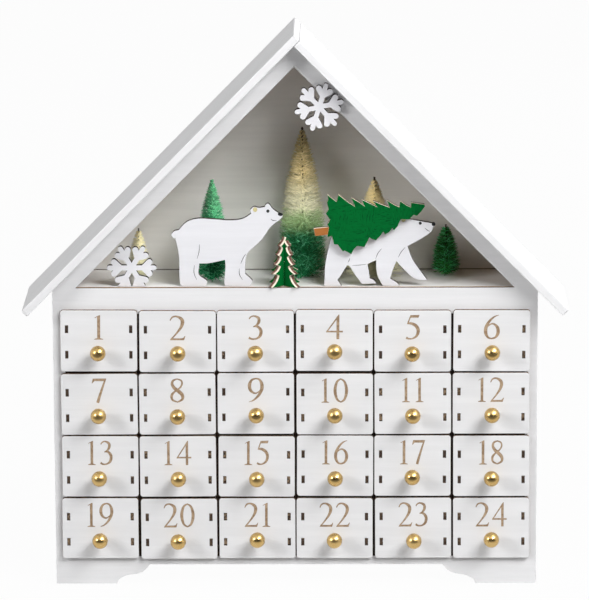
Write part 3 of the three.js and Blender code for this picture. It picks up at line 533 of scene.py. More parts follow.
# %% Figures 0 to 9
DIGIT_HEIGHT = 16.7
ZERO_WIDTH = 11.2
SIX_WIDTH = 10.6  # a 9 is a 6 that is turned upside down
six_strokes = [
    [(10.2, 16.5, 0.15), (7.2, 15.4, 0.4), (3.9, 12.5, 0.7), (1.5, 8.2, 0.95), (1.3, 4.4, 0.95),
     (2.9, 1.3, 0.6), (5.4, 0.45, 0.4)],
    [(5.0, 0.45, 0.4), (8.0, 1.4, 0.6), (9.7, 4.4, 0.95), (9.4, 7.9, 0.9), (7.4, 10.1, 0.6),
     (5.1, 10.5, 0.4), (2.3, 8.6, 0.3)],
]
zero_stroke = [
    (5.8, 16.35, 0.35), (2.6, 14.2, 0.7), (1.1, 8.35, 1.0), (2.6, 2.5, 0.7), (5.8, 0.35, 0.35)]
STROKES = {
    "0": [zero_stroke, [(ZERO_WIDTH - x, z, half) for x, z, half in zero_stroke]],
    "2": [[(0.35, 13.4, 0.3), (1.9, 15.6, 0.45), (4.7, 16.2, 0.5), (8.0, 14.6, 0.9), (8.9, 12.0, 1.05),
           (7.6, 8.4, 0.75), (4.0, 3.8, 0.45), (0.9, 0.6, 0.4)]],
    "3": [[(0.9, 14.3, 0.35), (2.2, 15.7, 0.4), (4.3, 16.25, 0.45), (7.3, 14.9, 0.8), (7.5, 12.2, 0.85),
           (5.8, 9.9, 0.5), (3.7, 8.9, 0.35)],
          [(4.2, 9.3, 0.35), (6.9, 8.9, 0.7), (8.9, 6.3, 0.95), (8.3, 2.7, 0.8), (5.6, 0.75, 0.45),
           (2.6, 0.6, 0.5), (0.6, 1.6, 0.65)]],
    "5": [[(1.4, 11.1, 0.45), (4.3, 11.0, 0.75), (7.4, 9.3, 0.95), (8.8, 6.2, 0.95), (7.7, 2.6, 0.7),
           (4.6, 0.7, 0.4), (1.9, 0.75, 0.5), (0.6, 1.5, 0.65)]],
    "6": six_strokes,
    "7": [[(9.4, 15.9, 0.45), (7.4, 10.4, 0.6), (5.4, 4.6, 0.75), (4.0, 0.1, 0.85)]],
    "8": [[(5.2, 16.3, 0.35), (2.3, 15.2, 0.6), (1.5, 12.7, 0.8), (3.2, 9.9, 0.95), (6.0, 7.7, 1.05),
           (8.4, 5.2, 1.0), (8.4, 2.3, 0.7), (5.0, 0.4, 0.35)],
          [(4.9, 16.3, 0.35), (7.8, 15.1, 0.5), (8.3, 12.6, 0.5), (6.6, 10.0, 0.45), (3.6, 7.9, 0.5),
           (1.2, 5.2, 0.75), (1.6, 2.0, 0.6), (5.2, 0.4, 0.35)]],
    "9": [[(SIX_WIDTH - x, DIGIT_HEIGHT - z, half) for x, z, half in stroke] for stroke in six_strokes],
}
PLATES = {
    "1": [[(2.05, 0.5), (4.05, 0.5), (4.15, 16.7), (3.5, 16.5), (2.05, 14.9)],
          [(2.1, 14.2), (2.0, 15.4), (0.5, 14.6), (0.4, 15.1), (3.6, 16.7), (4.0, 14.2)],
          [(0, 0), (6.1, 0), (6.1, 0.4), (4.1, 1.0), (2.0, 1.0), (0, 0.4)]],
    "2": [[(0, 0), (9.9, 0), (10.9, 2.9), (10.4, 2.9), (9.4, 1.6), (8.2, 1.3), (1.2, 1.3)]],
    "4": [[(7.2, 0), (9.1, 0), (9.2, 16.7), (8.7, 16.7), (7.2, 15.0)],
          [(0, 5.0), (0.95, 4.9), (9.0, 15.5), (8.6, 16.7)],
          [(0, 4.6), (11.6, 4.6), (11.5, 5.7), (0.3, 5.7)]],
    "5": [[(3.4, 15.0), (9.0, 15.0), (9.7, 16.9), (3.9, 16.7)],
          [(3.4, 16.7), (4.3, 16.7), (2.1, 10.9), (1.0, 10.7)]],
    "7": [[(0.9, 16.7), (10.2, 16.7), (9.7, 14.9), (2.0, 15.0), (0.5, 13.4), (0.1, 13.6)]],
}
print("drawn figures:", sorted({*STROKES, *PLATES}))

# %% Numbers from figures
STROKE_STEPS = 5
BOLDNESS = 1.2
DIGIT_SCALE = (1.02, 1.055)  # across and up
DIGIT_GAP = 2.2
ONE_GAP = 1.2  # further room beside a 1
PAIR_WIDTH = 0.88  # two figures are set narrower than one


def stroke_outline(stroke, boldness=1.0):
    """The two sides of a stroke, joined into one outline."""
    path = smooth_path(stroke, STROKE_STEPS)
    along = np.gradient(path[:, :2], axis=0)
    along /= np.linalg.norm(along, axis=1)[:, None]
    across = np.column_stack([-along[:, 1], along[:, 0]]) * path[:, 2:] * boldness
    return np.vstack([path[:, :2] - across, (path[:, :2] + across)[::-1]])


def digit_shapes(digit):
    strokes = [stroke_outline(stroke, BOLDNESS) for stroke in STROKES.get(digit, [])]
    plates = [np.array(plate, float) for plate in PLATES.get(digit, [])]
    return [shape * DIGIT_SCALE for shape in strokes + plates]


def number_shapes(number):
    """All shapes of a number, centred on x = 0 with its foot at height 0."""
    shapes = []
    pen = 0.0
    text = str(number)
    for place, digit in enumerate(text):
        drawn = digit_shapes(digit)
        points = np.vstack(drawn)
        if place:
            pen += DIGIT_GAP + ONE_GAP * (digit == "1") + ONE_GAP * (text[place - 1] == "1")
        shift = pen - points[:, 0].min()
        shapes += [shape + (shift, 0) for shape in drawn]
        pen += np.ptp(points[:, 0])
    width = PAIR_WIDTH if len(text) > 1 else 1.0
    return [(shape - (pen / 2, 0)) * (width, 1) for shape in shapes]


print("shapes in each figure:", {text: len(digit_shapes(text)) for text in "0123456789"})


# %% [markdown]
# ## Drawer fronts
#
# A front is one board with four slots right through it and a number sunk in its face. Its outlines
# are laid over each other and cut into triangles, and each triangle then gets the depth of what it
# belongs to. Walls go up wherever two neighbours differ, so the board stays one closed solid.

# %% Boards with cuts at several depths
def signed_area(outline):
    x, z = np.array(outline, float).T
    return (x * np.roll(z, -1) - z * np.roll(x, -1)).sum() / 2


def overlay(outlines):
    """Triangles that follow every outline, each with the numbers of the outlines that hold it."""
    points = []
    loops = []
    for outline in outlines:
        ordered = outline if signed_area(outline) > 0 else outline[::-1]
        loops.append(list(range(len(points), len(points) + len(ordered))))
        points += [Vector(point) for point in ordered]
    flat, _, triangles, _, _, owners = delaunay_2d_cdt(points, [], loops, 1, 1e-5)
    return flat, triangles, owners


def relief(points, triangles, depths, back):
    """A closed board whose front lies at each triangle's depth. Depth None is a hole."""
    corner_ids = {}
    faces = []
    beside = {}
    for triangle, depth in zip(triangles, depths):
        for a, b in zip(triangle, [*triangle[1:], triangle[0]]):
            beside[a, b] = depth

    def corner(index, depth):
        return corner_ids.setdefault((index, depth), len(corner_ids))

    for triangle, depth in zip(triangles, depths):
        if depth is None:
            continue
        faces.append([corner(index, depth) for index in triangle])
        faces.append([corner(index, back) for index in reversed(triangle)])
        for a, b in zip(triangle, [*triangle[1:], triangle[0]]):
            other = beside.get((b, a))
            other = back if other is None else other
            if other > depth:
                faces.append([corner(a, depth), corner(a, other), corner(b, other), corner(b, depth)])
    vertices = [(points[index].x, depth, points[index].y) for index, depth in corner_ids]
    return np.array(vertices) * MM, faces


def rectangle(x0, z0, x1, z1):
    return [(x0, z0), (x1, z0), (x1, z1), (x0, z1)]


def rounded_rectangle(width, height, radius, steps=6):
    outline = []
    for turn, (side, level) in enumerate([(1, 1), (-1, 1), (-1, -1), (1, -1)]):
        for angle in np.linspace(turn, turn + 1, steps) * math.pi / 2:
            outline.append((side * (width / 2 - radius) + radius * math.cos(angle),
                            level * (height / 2 - radius) + radius * math.sin(angle)))
    return outline


print("area of a square:", signed_area(rectangle(0, 0, 1, 1)))

# %% Drawer sizes
low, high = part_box("drawer_01")
FRONT_WIDTH = (high.x - low.x) / MM
FRONT_HEIGHT = (high.z - low.z) / MM
FRONT_PLY = 3.0
FRONT_BACK = -0.3  # where the front's back lies, measured backwards from the panel's face
FRONT_CORNER = 2.0
SLOT_WIDTH = 2.3
SLOT_HEIGHT = 5.5
TAB_HEIGHT = 4.0
TAB_SPACING = 18.4
TAB_DROP = 0.7
TRAY_PLY = 2.2
TRAY_MARGIN = 3.3
TRAY_HALF = FRONT_WIDTH / 2 - TRAY_MARGIN
NUMBER_FOOT = 1.0  # above the middle of the front
ENGRAVING = 0.35
ENGRAVED_FLOOR = 0.25
RIM_SHARE = 0.93  # beyond this share of the half size lies only the front's rim
RIM_BEVEL = 0.25
print("drawer front:", round(FRONT_WIDTH, 1), "by", round(FRONT_HEIGHT, 1), "mm")


# %% The front's mesh
def tab_slots():
    middle = TRAY_HALF - TRAY_PLY / 2
    half_x = SLOT_WIDTH / 2
    half_z = SLOT_HEIGHT / 2
    levels = (-TAB_DROP - TAB_SPACING / 2, -TAB_DROP + TAB_SPACING / 2)
    return [rectangle(side * middle - half_x, level - half_z, side * middle + half_x, level + half_z)
            for side in (-1, 1) for level in levels]


def soften_rim(edit):
    """Bevels only the outer edge of a front's face."""
    rim = []
    for edge in edit.edges:
        middle = (edge.verts[0].co + edge.verts[1].co) / 2
        outer = max(abs(middle.x) * 2 / FRONT_WIDTH, abs(middle.z) * 2 / FRONT_HEIGHT) / MM
        level = max(vertex.co.y for vertex in edge.verts)
        if outer > RIM_SHARE and level < 0.001 * MM and edge.calc_face_angle(0) > 1:
            rim.append(edge)
    bmesh.ops.bevel(edit, geom=rim, offset=RIM_BEVEL * MM, segments=2, profile=0.5, affect="EDGES")


def make_front(number):
    """The front of one drawer and the figure that fills its engraving."""
    outline = rounded_rectangle(FRONT_WIDTH, FRONT_HEIGHT, FRONT_CORNER)
    slots = tab_slots()
    strokes = [shape + (0, NUMBER_FOOT) for shape in number_shapes(number)]
    points, triangles, owners = overlay([outline, *slots, *strokes])
    first_stroke = 1 + len(slots)
    kinds = ["number" if max(held) >= first_stroke else "slot" if max(held) > 0 else "face"
             for held in owners]

    def carve(name, back, **depth):
        return new_piece(name, *relief(points, triangles, [depth.get(kind) for kind in kinds], back))

    front = carve(f"drawer_front_{number:02d}", FRONT_PLY, face=0.0, number=ENGRAVING)
    figure = carve(f"number_{number:02d}", ENGRAVING, number=ENGRAVED_FLOOR)
    return edit_mesh(front, soften_rim), figure


print("slots in a front:", len(tab_slots()))

# %% [markdown]
# ## Trays
#
# Behind each front sits a shallow open tray of four thin boards. Its sides end in tabs that go
# through the front's slots, and fingers lock its corners, as on any laser-cut box. All trays are
# alike, so they share one mesh.

# %% Closed boards
def prism(outline, place):
    """Closes an outline into a board. place turns (a, b, end) into a point; end is 0 or 1."""
    count = len(outline)
    vertices = [place(a, b, 0) for a, b in outline] + [place(a, b, 1) for a, b in outline]
    faces = [list(range(count))[::-1], list(range(count, 2 * count))]
    for i in range(count):
        j = (i + 1) % count
        faces.append([i, j, j + count, i + count])
    return vertices, faces


def join_shells(shells):
    vertices = []
    faces = []
    for shell_vertices, shell_faces in shells:
        first = len(vertices)
        vertices += [tuple(vertex) for vertex in shell_vertices]
        faces += [[first + index for index in face] for face in shell_faces]
    return vertices, faces


print("faces on a board:", len(prism(rectangle(0, 0, 1, 1), lambda a, b, end: (a, b, end))[1]))


# %% The tray's mesh
TRAY_BOTTOM = -20.75
TRAY_DROP = 4.0  # from the front's top to the tray's rim
TRAY_TOP = FRONT_HEIGHT / 2 - TRAY_DROP
TRAY_BACK = (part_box("drawer_01")[1].y - FACE_Y) / MM
TAB_RECESS = 0.5  # a tab ends this far behind the front's face
TAB_END = FRONT_BACK - FRONT_PLY + TAB_RECESS
FINGERS = 5


def fingered_edge(start, end, base, tip, tip_first):
    """Points up an edge whose fingers reach tip and whose gaps stay at base."""
    levels = np.linspace(start, end, FINGERS + 1)
    points = []
    for i, (low, high) in enumerate(zip(levels, levels[1:])):
        reach = tip if (i % 2 == 0) == tip_first else base
        points += [(reach, low), (reach, high)]
    return points


def tray_side(side):
    tabs = []
    for level in (1, -1):
        middle = level * TAB_SPACING / 2 - TAB_DROP
        top = middle + TAB_HEIGHT / 2
        foot = middle - TAB_HEIGHT / 2
        tabs += [(FRONT_BACK, top), (TAB_END, top), (TAB_END, foot), (FRONT_BACK, foot)]
    back = fingered_edge(TRAY_BOTTOM, TRAY_TOP, TRAY_BACK - TRAY_PLY, TRAY_BACK, True)
    outline = [(FRONT_BACK, TRAY_BOTTOM), *back, (FRONT_BACK, TRAY_TOP), *tabs]
    inner = side * (TRAY_HALF - TRAY_PLY)
    outer = side * TRAY_HALF
    ends = (inner, outer) if side > 0 else (outer, inner)
    return prism(outline, lambda y, z, end: (ends[end] * MM, y * MM, z * MM))


def tray_back():
    inner = TRAY_HALF - TRAY_PLY
    right = fingered_edge(TRAY_BOTTOM, TRAY_TOP, inner, TRAY_HALF, False)
    left = [(-x, z) for x, z in reversed(right)]
    ends = (TRAY_BACK, TRAY_BACK - TRAY_PLY)
    return prism(right + left, lambda x, z, end: (x * MM, ends[end] * MM, z * MM))


def tray_floor():
    inner = TRAY_HALF - TRAY_PLY
    outline = rectangle(-inner, FRONT_BACK, inner, TRAY_BACK - TRAY_PLY)
    ends = (TRAY_BOTTOM, TRAY_BOTTOM + TRAY_PLY)
    return prism(outline, lambda x, y, end: (x * MM, y * MM, ends[end] * MM))


print("points on a tray's side:", len(tray_side(1)[0]))


# %% [markdown]
# ## Knobs
#
# The knob is a turned brass ball on a short neck. A turned part is a profile swept around an axis,
# so a few points of its outline describe it. Satin brass needs a soft highlight: noise makes it
# smoother and rougher, lighter and darker from patch to patch, and finer noise roughens its skin.

# %% Turned pieces
def ring_faces(rings, sides, first=0):
    """Squares between rings of points that follow each other, from the point numbered first."""
    faces = []
    for start in range(first, first + (rings - 1) * sides, sides):
        for i in range(sides):
            j = (i + 1) % sides
            faces.append([start + i, start + j, start + sides + j, start + sides + i])
    return faces


def turned_shell(profile, sides=40):
    """Sweeps (radius, height) points around +Z. The profile starts and ends on the axis."""
    vertices = [(0, 0, profile[0][1])]
    rings = profile[1:-1]
    for radius, height in rings:
        for i in range(sides):
            angle = 2 * math.pi * i / sides
            vertices.append((radius * math.cos(angle), radius * math.sin(angle), height))
    vertices.append((0, 0, profile[-1][1]))
    last = len(vertices) - 1
    top = last - sides
    faces = ring_faces(len(rings), sides, 1)
    for i in range(sides):
        j = (i + 1) % sides
        faces += [[0, 1 + j, 1 + i], [top + i, top + j, last]]
    return vertices, faces


print("faces on a turned cone:", len(turned_shell([(0, 0), (1, 0), (0, 1)])[1]))

# %% The knob's outline
KNOB_RADIUS = 5.5
KNOB_REACH = 10.0
KNOB_DROP = 6.5
KNOB_NECK = 2.2
KNOB_FOOT = [(0, 0), (3.1, 0), (3.1, 0.5), (2.7, 0.8), (KNOB_NECK, 1.3)]


def knob_profile():
    """From the drawer's face, out along the neck and round the ball."""
    start = math.pi - math.asin(KNOB_NECK / KNOB_RADIUS)
    ball = [(KNOB_RADIUS * math.sin(angle), KNOB_REACH + KNOB_RADIUS * math.cos(angle))
            for angle in np.linspace(start, 0, 22)]
    return KNOB_FOOT + ball


print("knob profile points:", len(knob_profile()))

# %% Brass and engraved wood
brass, tree, shader = new_material("satin_brass", (0.64, 0.43, 0.15, 1), 0.27, 1.0)
place = own_coordinates(tree)
patches = noise(tree, place, 120.0)
feed(tree, shader, Roughness=remap(tree, patches, 0.3, 0.7, 0.22, 0.32),
     Base_Color=blend_colours(tree, patches, (0.50, 0.33, 0.11, 1), (0.68, 0.48, 0.21, 1)))
raise_surface(tree, shader, noise(tree, place, 900.0, 3.0), 0.006 * MM)

engraving, tree, shader = new_material("engraved_wood", (0.36, 0.25, 0.155, 1), 0.8)
burn = remap(tree, noise(tree, own_coordinates(tree), 420.0, 4.0), 0.35, 0.65)
scorched = blend_colours(tree, burn, (0.27, 0.175, 0.10, 1), (0.42, 0.30, 0.19, 1))
feed(tree, shader, Base_Color=scorched)
print("drawer finishes:", brass.name, engraving.name)

# %% [markdown]
# ## Twenty-four drawers
#
# Nobody pushes every drawer in the same way, so each front sits up to half a millimetre off its place
# and leans a little. The random numbers come from one seed, so that every run makes the same house.
# Knobs and trays are copies of the first, which share its mesh.

# %% Make the 24 drawers
TURN_OUT = Matrix.Rotation(math.pi / 2, 4, "X")
HAND_SEED = 7
SLIP = (0.4, 0.3)  # across and up
KNOB_SLIP = (0.5, 0.6)
LEAN = 0.3  # degrees
hand = np.random.default_rng(HAND_SEED)


def nudge(across, up):
    """A small random shift in the plane of the fronts."""
    return Vector((hand.uniform(-across, across), 0, hand.uniform(-up, up))) * MM


for number in range(1, 25):
    node = f"drawer_{number:02d}"
    low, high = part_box(node)
    middle = Vector(((low.x + high.x) / 2, FACE_Y, (low.z + high.z) / 2))
    front, figure = make_front(number)
    slip = nudge(*SLIP)
    lean = Euler((0, math.radians(hand.uniform(-LEAN, LEAN)), 0))
    face = middle + slip + Vector((0, (FRONT_BACK - FRONT_PLY) * MM, 0))
    for piece in (front, figure):
        piece.location = face
        piece.rotation_euler = lean
    dress(front, drawer_paint, node, [node])
    dress(figure, engraving, node, [node])
    knob_place = face + nudge(*KNOB_SLIP) - Vector((0, 0, KNOB_DROP * MM))
    if number == 1:
        shell, faces = turned_shell(knob_profile())
        knob = new_piece("knob_01", np.array(shell) * MM, faces, smooth=True)
        knob.data.transform(TURN_OUT)
        knob.data.materials.append(brass)
        boards = join_shells([tray_side(-1), tray_side(1), tray_back(), tray_floor()])
        tray = mend_normals(new_piece("drawer_tray_01", *boards))
        tray.data.materials.append(tray_board)
    else:
        knob = place_mesh(f"knob_{number:02d}", knob.data)
        tray = place_mesh(f"drawer_tray_{number:02d}", tray.data)
    knob.location = knob_place
    tray.location = middle + slip
    tray.rotation_euler = lean
    hang(knob, node, [node])
    hang(tray, node, [node])
print("drawers:", number, "faces in front 24:", len(front.data.polygons))


# %% [markdown]
# ## Flat figures
#
# Bears and snowflakes are cut from thin board. A bear's CAD part already has its outline, in short
# straight steps. The outline is read from its front face, rounded where it bends gently and left
# sharp where it turns hard, and pushed back to the board's thickness.

# %% Outlines from the frame
def face_outline(node, facing):
    """The outline of the face that looks along facing, in order."""
    edit = bmesh.new()
    edit.from_mesh(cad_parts[node].data)
    bmesh.ops.remove_doubles(edit, verts=edit.verts, dist=0.002 * MM)
    edit.normal_update()
    flat = {face for face in edit.faces if face.normal.dot(facing) > 0.999}
    following = {}
    for face in flat:
        for loop in face.loops:
            if not any(other in flat for other in loop.edge.link_faces if other is not face):
                following[loop.vert.index] = loop.link_loop_next.vert.index
    edit.verts.ensure_lookup_table()
    start = next(iter(following))
    order = [start]
    while following[order[-1]] != start:
        order.append(following[order[-1]])
    points = [edit.verts[index].co.copy() for index in order]
    edit.free()
    return points


STRAIGHT_CHORD = 8.0  # a longer step of the outline is a straight edge


def round_outline(points, steps=4, corner=math.radians(38)):
    """Adds points on smooth curves between the outline's hard corners."""
    count = len(points)
    chords = [points[(i + 1) % count] - points[i] for i in range(count)]
    tangents = []
    for i in range(count):
        before = chords[i - 1]
        after = chords[i]
        gentle = before.angle(after) < corner
        mean = (before.normalized() * after.length + after.normalized() * before.length).normalized()
        tangents.append((mean, mean) if gentle else (before.normalized(), after.normalized()))
    fine = []
    for i in range(count):
        j = (i + 1) % count
        length = chords[i].length
        straight = length > STRAIGHT_CHORD * MM
        start = chords[i] if straight else tangents[i][1] * length
        end = chords[i] if straight else tangents[j][0] * length
        for t in np.linspace(0, 1, steps, endpoint=False):
            fine.append(points[i] * (2 * t**3 - 3 * t**2 + 1) + start * (t**3 - 2 * t**2 + t)
                        + points[j] * (3 * t**2 - 2 * t**3) + end * (t**3 - t**2))
    return fine


def fine_edge(obj, width):
    """A fine bevel around both faces of a cut board."""
    return bevel_edges(obj, width, 1, 60)


def cut_board(name, outline, facing, thickness, rim=0.15):
    """A board with that outline as its front face."""
    count = len(outline)
    back = [point - facing * thickness * MM for point in outline]
    faces = [list(range(count)), list(range(2 * count - 1, count - 1, -1))]
    for i in range(count):
        j = (i + 1) % count
        faces.append([i, i + count, j + count, j])
    return fine_edge(mend_normals(new_piece(name, [*outline, *back], faces)), rim)


# %% Bears
BEAR_PLY = 4.0
TOWARDS_VIEWER = Vector((0, -1, 0))
for node in ("bear_standing", "bear_walking"):
    points = face_outline(node, TOWARDS_VIEWER)
    board = cut_board(f"{node}_board", round_outline(points), TOWARDS_VIEWER, BEAR_PLY)
    dress(board, figure_paint, "house", [node])
    print(node, "outline points:", len(points))

# %% [markdown]
# ## Snowflakes
#
# A snowflake has six arms, and each arm ends in three round fingers. Every bar and finger is the same
# simple shape, a bar with round ends. The bars are laid over each other and merged, as the numbers
# were, and the standing snowflake is sawn flat so that it has a foot.

# %% Snowflake boards
SNOWFLAKE_PLY = 4.0
SNOWFLAKE_RADIUS = 17.8
ARM_HALF = 1.8
FINGER_HALF = 2.15
FINGER_FORK = 8.4  # where the side fingers leave the arm
FINGER_TIP = (12.4, 4.1)


def round_bar(start, end, half, steps=9):
    """A bar with round ends between two points."""
    start = np.array(start, float)
    end = np.array(end, float)
    heading = math.atan2(*(end - start)[::-1])
    outline = []
    for centre, first in ((end, heading - math.pi / 2), (start, heading + math.pi / 2)):
        for angle in np.linspace(first, first + math.pi, steps):
            outline.append(centre + half * np.array([math.cos(angle), math.sin(angle)]))
    return np.array(outline)


def snowflake_board(name, turn):
    bars = []
    tip, side = FINGER_TIP
    for arm in range(6):
        angle = turn + arm * math.pi / 3
        cos, sin = math.cos(angle), math.sin(angle)
        spin = np.array([[cos, sin], [-sin, cos]])
        bars.append(round_bar((0, 0), (SNOWFLAKE_RADIUS - FINGER_HALF, 0), ARM_HALF) @ spin)
        bars.append(round_bar((FINGER_FORK, 0), (tip, side), FINGER_HALF) @ spin)
        bars.append(round_bar((FINGER_FORK, 0), (tip, -side), FINGER_HALF) @ spin)
    points, triangles, _ = overlay(bars)
    return new_piece(name, *relief(points, triangles, [0.0] * len(triangles), SNOWFLAKE_PLY))


print("points on a round bar:", len(round_bar((0, 0), (1, 0), 0.5)))


# %% A foot for a snowflake
def keep_above(obj, height):
    """Saws a closed piece along a level plane and keeps what is above it."""
    def saw(edit):
        geometry = [*edit.verts, *edit.edges, *edit.faces]
        bmesh.ops.bisect_plane(edit, geom=geometry, plane_co=Vector((0, 0, height)),
                               plane_no=Vector((0, 0, 1)), clear_inner=True)
        bmesh.ops.edgeloop_fill(edit, edges=[edge for edge in edit.edges if edge.is_boundary])
        bmesh.ops.recalc_face_normals(edit, faces=edit.faces)

    edit_mesh(obj, saw)


HANGING_TURN = math.radians(12.5)
FLAKE_RIM = 0.15
for node, turn in (("snowflake_hanging", HANGING_TURN), ("snowflake_standing", 0.0)):
    low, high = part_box(node)
    board = snowflake_board(f"{node}_board", turn)
    board.location = ((low.x + high.x) / 2, low.y, (low.z + high.z) / 2)
    if node == "snowflake_standing":
        top = (SNOWFLAKE_RADIUS - FINGER_HALF) * math.sin(math.pi / 3) + FINGER_HALF
        board.location.z = high.z - top * MM
        keep_above(board, low.z - board.location.z)
    fine_edge(board, FLAKE_RIM)
    dress(board, figure_paint, "house", [node])
    print(node, "faces:", len(board.data.polygons))

# %% [markdown]
# ## Ink on the bears
#
# Eyes, noses, mouths and leg lines are printed on the bears. A print has almost no thickness, so
# each mark is a sliver of board a few hundredths of a millimetre thick on the face. A tapering line
# reuses the stroke that drew the numbers.

# %% A mottled finish
SPOT_TONES = (0.82, 1.08)  # times the colour
SPOT_ROUGHNESS = (0.85, 1.2)  # times the roughness


def mottled(name, colour, roughness, metallic=0.0, scale=700.0, depth=0.004, **extra):
    """A finish that is a little lighter, darker, rougher and smoother from spot to spot."""
    material, tree, shader = new_material(name, colour, roughness, metallic, **extra)
    grains = noise(tree, own_coordinates(tree), scale, 3.0)
    spots = remap(tree, grains, 0.3, 0.7)
    darker, lighter = (shade(colour, tone) for tone in SPOT_TONES)
    smoother, rougher = (roughness * share for share in SPOT_ROUGHNESS)
    feed(tree, shader, Base_Color=blend_colours(tree, spots, darker, lighter),
         Roughness=remap(tree, spots, 0, 1, smoother, rougher))
    raise_surface(tree, shader, grains, depth * MM)
    return material


# %% Printed marks
ink = mottled("printed_ink", (0.012, 0.012, 0.013, 1), 0.45)
ear_tint = mottled("ear_tint", (0.62, 0.55, 0.27, 1), 0.6)
INK_THICKNESS = 0.06
THIN_END = 0.45  # of a line's width
INK_Y = FACE_Y / MM + 5.0  # the bears' faces


def mark_shell(outline):
    ends = (INK_Y - INK_THICKNESS, INK_Y)
    return prism(outline, lambda x, z, end: (x * MM, ends[end] * MM, z * MM))


def dot(x, z, half_width, half_height, turn=0.0, sides=20):
    angles = np.linspace(0, 2 * math.pi, sides, endpoint=False)
    circle = np.column_stack([half_width * np.cos(angles), half_height * np.sin(angles)])
    cos, sin = math.cos(turn), math.sin(turn)
    return circle @ np.array([[cos, sin], [-sin, cos]]) + (x, z)


def line(*points, half=0.2):
    """A hand-drawn line that thins out at both ends."""
    last = len(points) - 1
    return stroke_outline([(x, z, half * (THIN_END if i in (0, last) else 1.0))
                           for i, (x, z) in enumerate(points)])


def print_marks(name, shapes, material):
    marks = mend_normals(new_piece(name, *join_shells([mark_shell(shape) for shape in shapes])))
    dress(marks, material, "house")
    print(name, "marks:", len(shapes))


print_marks("bear_standing_ink", [
    dot(-18.7, 268.3, 1.1, 1.15),
    dot(-10.1, 266.0, 1.75, 1.2, -0.25),
    line((-16.7, 262.7), (-15.2, 261.7), (-12.6, 261.6), half=0.22),
    line((-66.7, 244.6), (-67.0, 239.6), (-68.4, 234.4)),
    line((-70.3, 229.9), (-70.7, 224.4), (-68.8, 219.4)),
    line((-34.3, 237.8), (-36.4, 234.4), (-37.8, 230.8)),
    line((-38.9, 227.3), (-38.8, 223.0), (-36.6, 219.3)),
], ink)
print_marks("bear_walking_ink", [
    dot(87.7, 259.5, 1.05, 1.1),
    dot(97.0, 258.7, 1.35, 1.25),
    line((90.9, 256.1), (92.6, 254.6), (94.3, 253.5), half=0.22),
    line((60.8, 241.5), (58.2, 238.2), (56.5, 234.2)),
    line((77.1, 242.1), (74.4, 239.0), (72.4, 235.1)),
    line((38.4, 234.8), (38.1, 233.2), (37.1, 231.6), half=0.16),
    line((40.2, 229.4), (45.0, 229.6), (50.2, 230.3), half=0.16),
], ink)
print_marks("bear_ear_tints", [
    dot(-27.6, 269.4, 1.5, 1.7),
    dot(76.1, 261.5, 1.5, 1.0, 0.4),
], ear_tint)

# %% [markdown]
# ## The tree on the bear's back
#
# This tree is cut from thinner board and painted by hand: short dark strokes over a flat green, and
# an orange-brown trunk. Its teeth are all a little different, so the outline is drawn point by point.
# Crown and trunk are two boards that overlap slightly, so that each has its own paint.

# %% Green paint with brush strokes
GREEN = (0.0, 0.118, 0.022, 1)
DARK_GREEN = (0.0, 0.062, 0.014, 1)
CREAM_EDGE = (0.90, 0.80, 0.66, 1)
BROWN_EDGE = (0.11, 0.035, 0.025, 1)
BURNT_EDGE = (0.03, 0.012, 0.009, 1)
RIM_LIMIT = 0.95  # the narrow bevel around a face stays bare too


def green_paint(name, face, strokes, middle, thickness, brown=BROWN_EDGE, bands=0.85):
    """Flat green with darker strokes, some upright and some level. strokes is how dark they are."""
    material, tree, shader = new_material(name, GREEN, 0.8, Specular_IOR_Level=0.05)
    place = own_coordinates(tree)
    streaks = []
    for scale, lean in (((1, 1, 0.17), 0.3), ((0.17, 1, 1), 0.2)):
        sockets = {"Vector": place, "Scale": scale, "Rotation": (0, lean, 0)}
        slim = add(tree, "ShaderNodeMapping", sockets)
        streaks.append(noise(tree, slim.outputs[0], 950.0, 3.0, Distortion=1.6))
    level = remap(tree, noise(tree, place, 75.0), 0.46, 0.56)
    brushed = add(tree, "ShaderNodeMix", {0: level, 2: streaks[0], 3: streaks[1]}).outputs[0]
    tone = blend_colours(tree, remap(tree, brushed, 0.48, 0.66, 0, strokes), GREEN, DARK_GREEN)
    edge = cut_edge(tree, place, face, middle, thickness, bands, CREAM_EDGE, brown, RIM_LIMIT)
    feed(tree, shader, Base_Color=blend_colours(tree, edge["Edge"], tone, edge["Colour"]))
    raise_surface(tree, shader, brushed, 0.05 * MM)
    return material


# %% Crown and trunk paints
CARRIED_PLY = 4.1
CARRIED_FACE = FACE_Y / MM + 0.8
BACK_PLIES = CARRIED_FACE + 2.9  # the middle of the burnt plies, behind the cream one
TRUNK_BROWN = (0.38, 0.13, 0.022, 1)
carried_paint = green_paint("carried_tree_paint", FACING_FRONT, 1.0, BACK_PLIES, 8.0,
                            BURNT_EDGE, 1.0)
trunk_paint = paint("trunk_paint", TRUNK_BROWN, face=FACING_FRONT, middle=BACK_PLIES,
                    thickness=6.0, bands=1.0, wood=CREAM_EDGE, size=260.0)
print("paints of the carried tree:", carried_paint.name, trunk_paint.name)

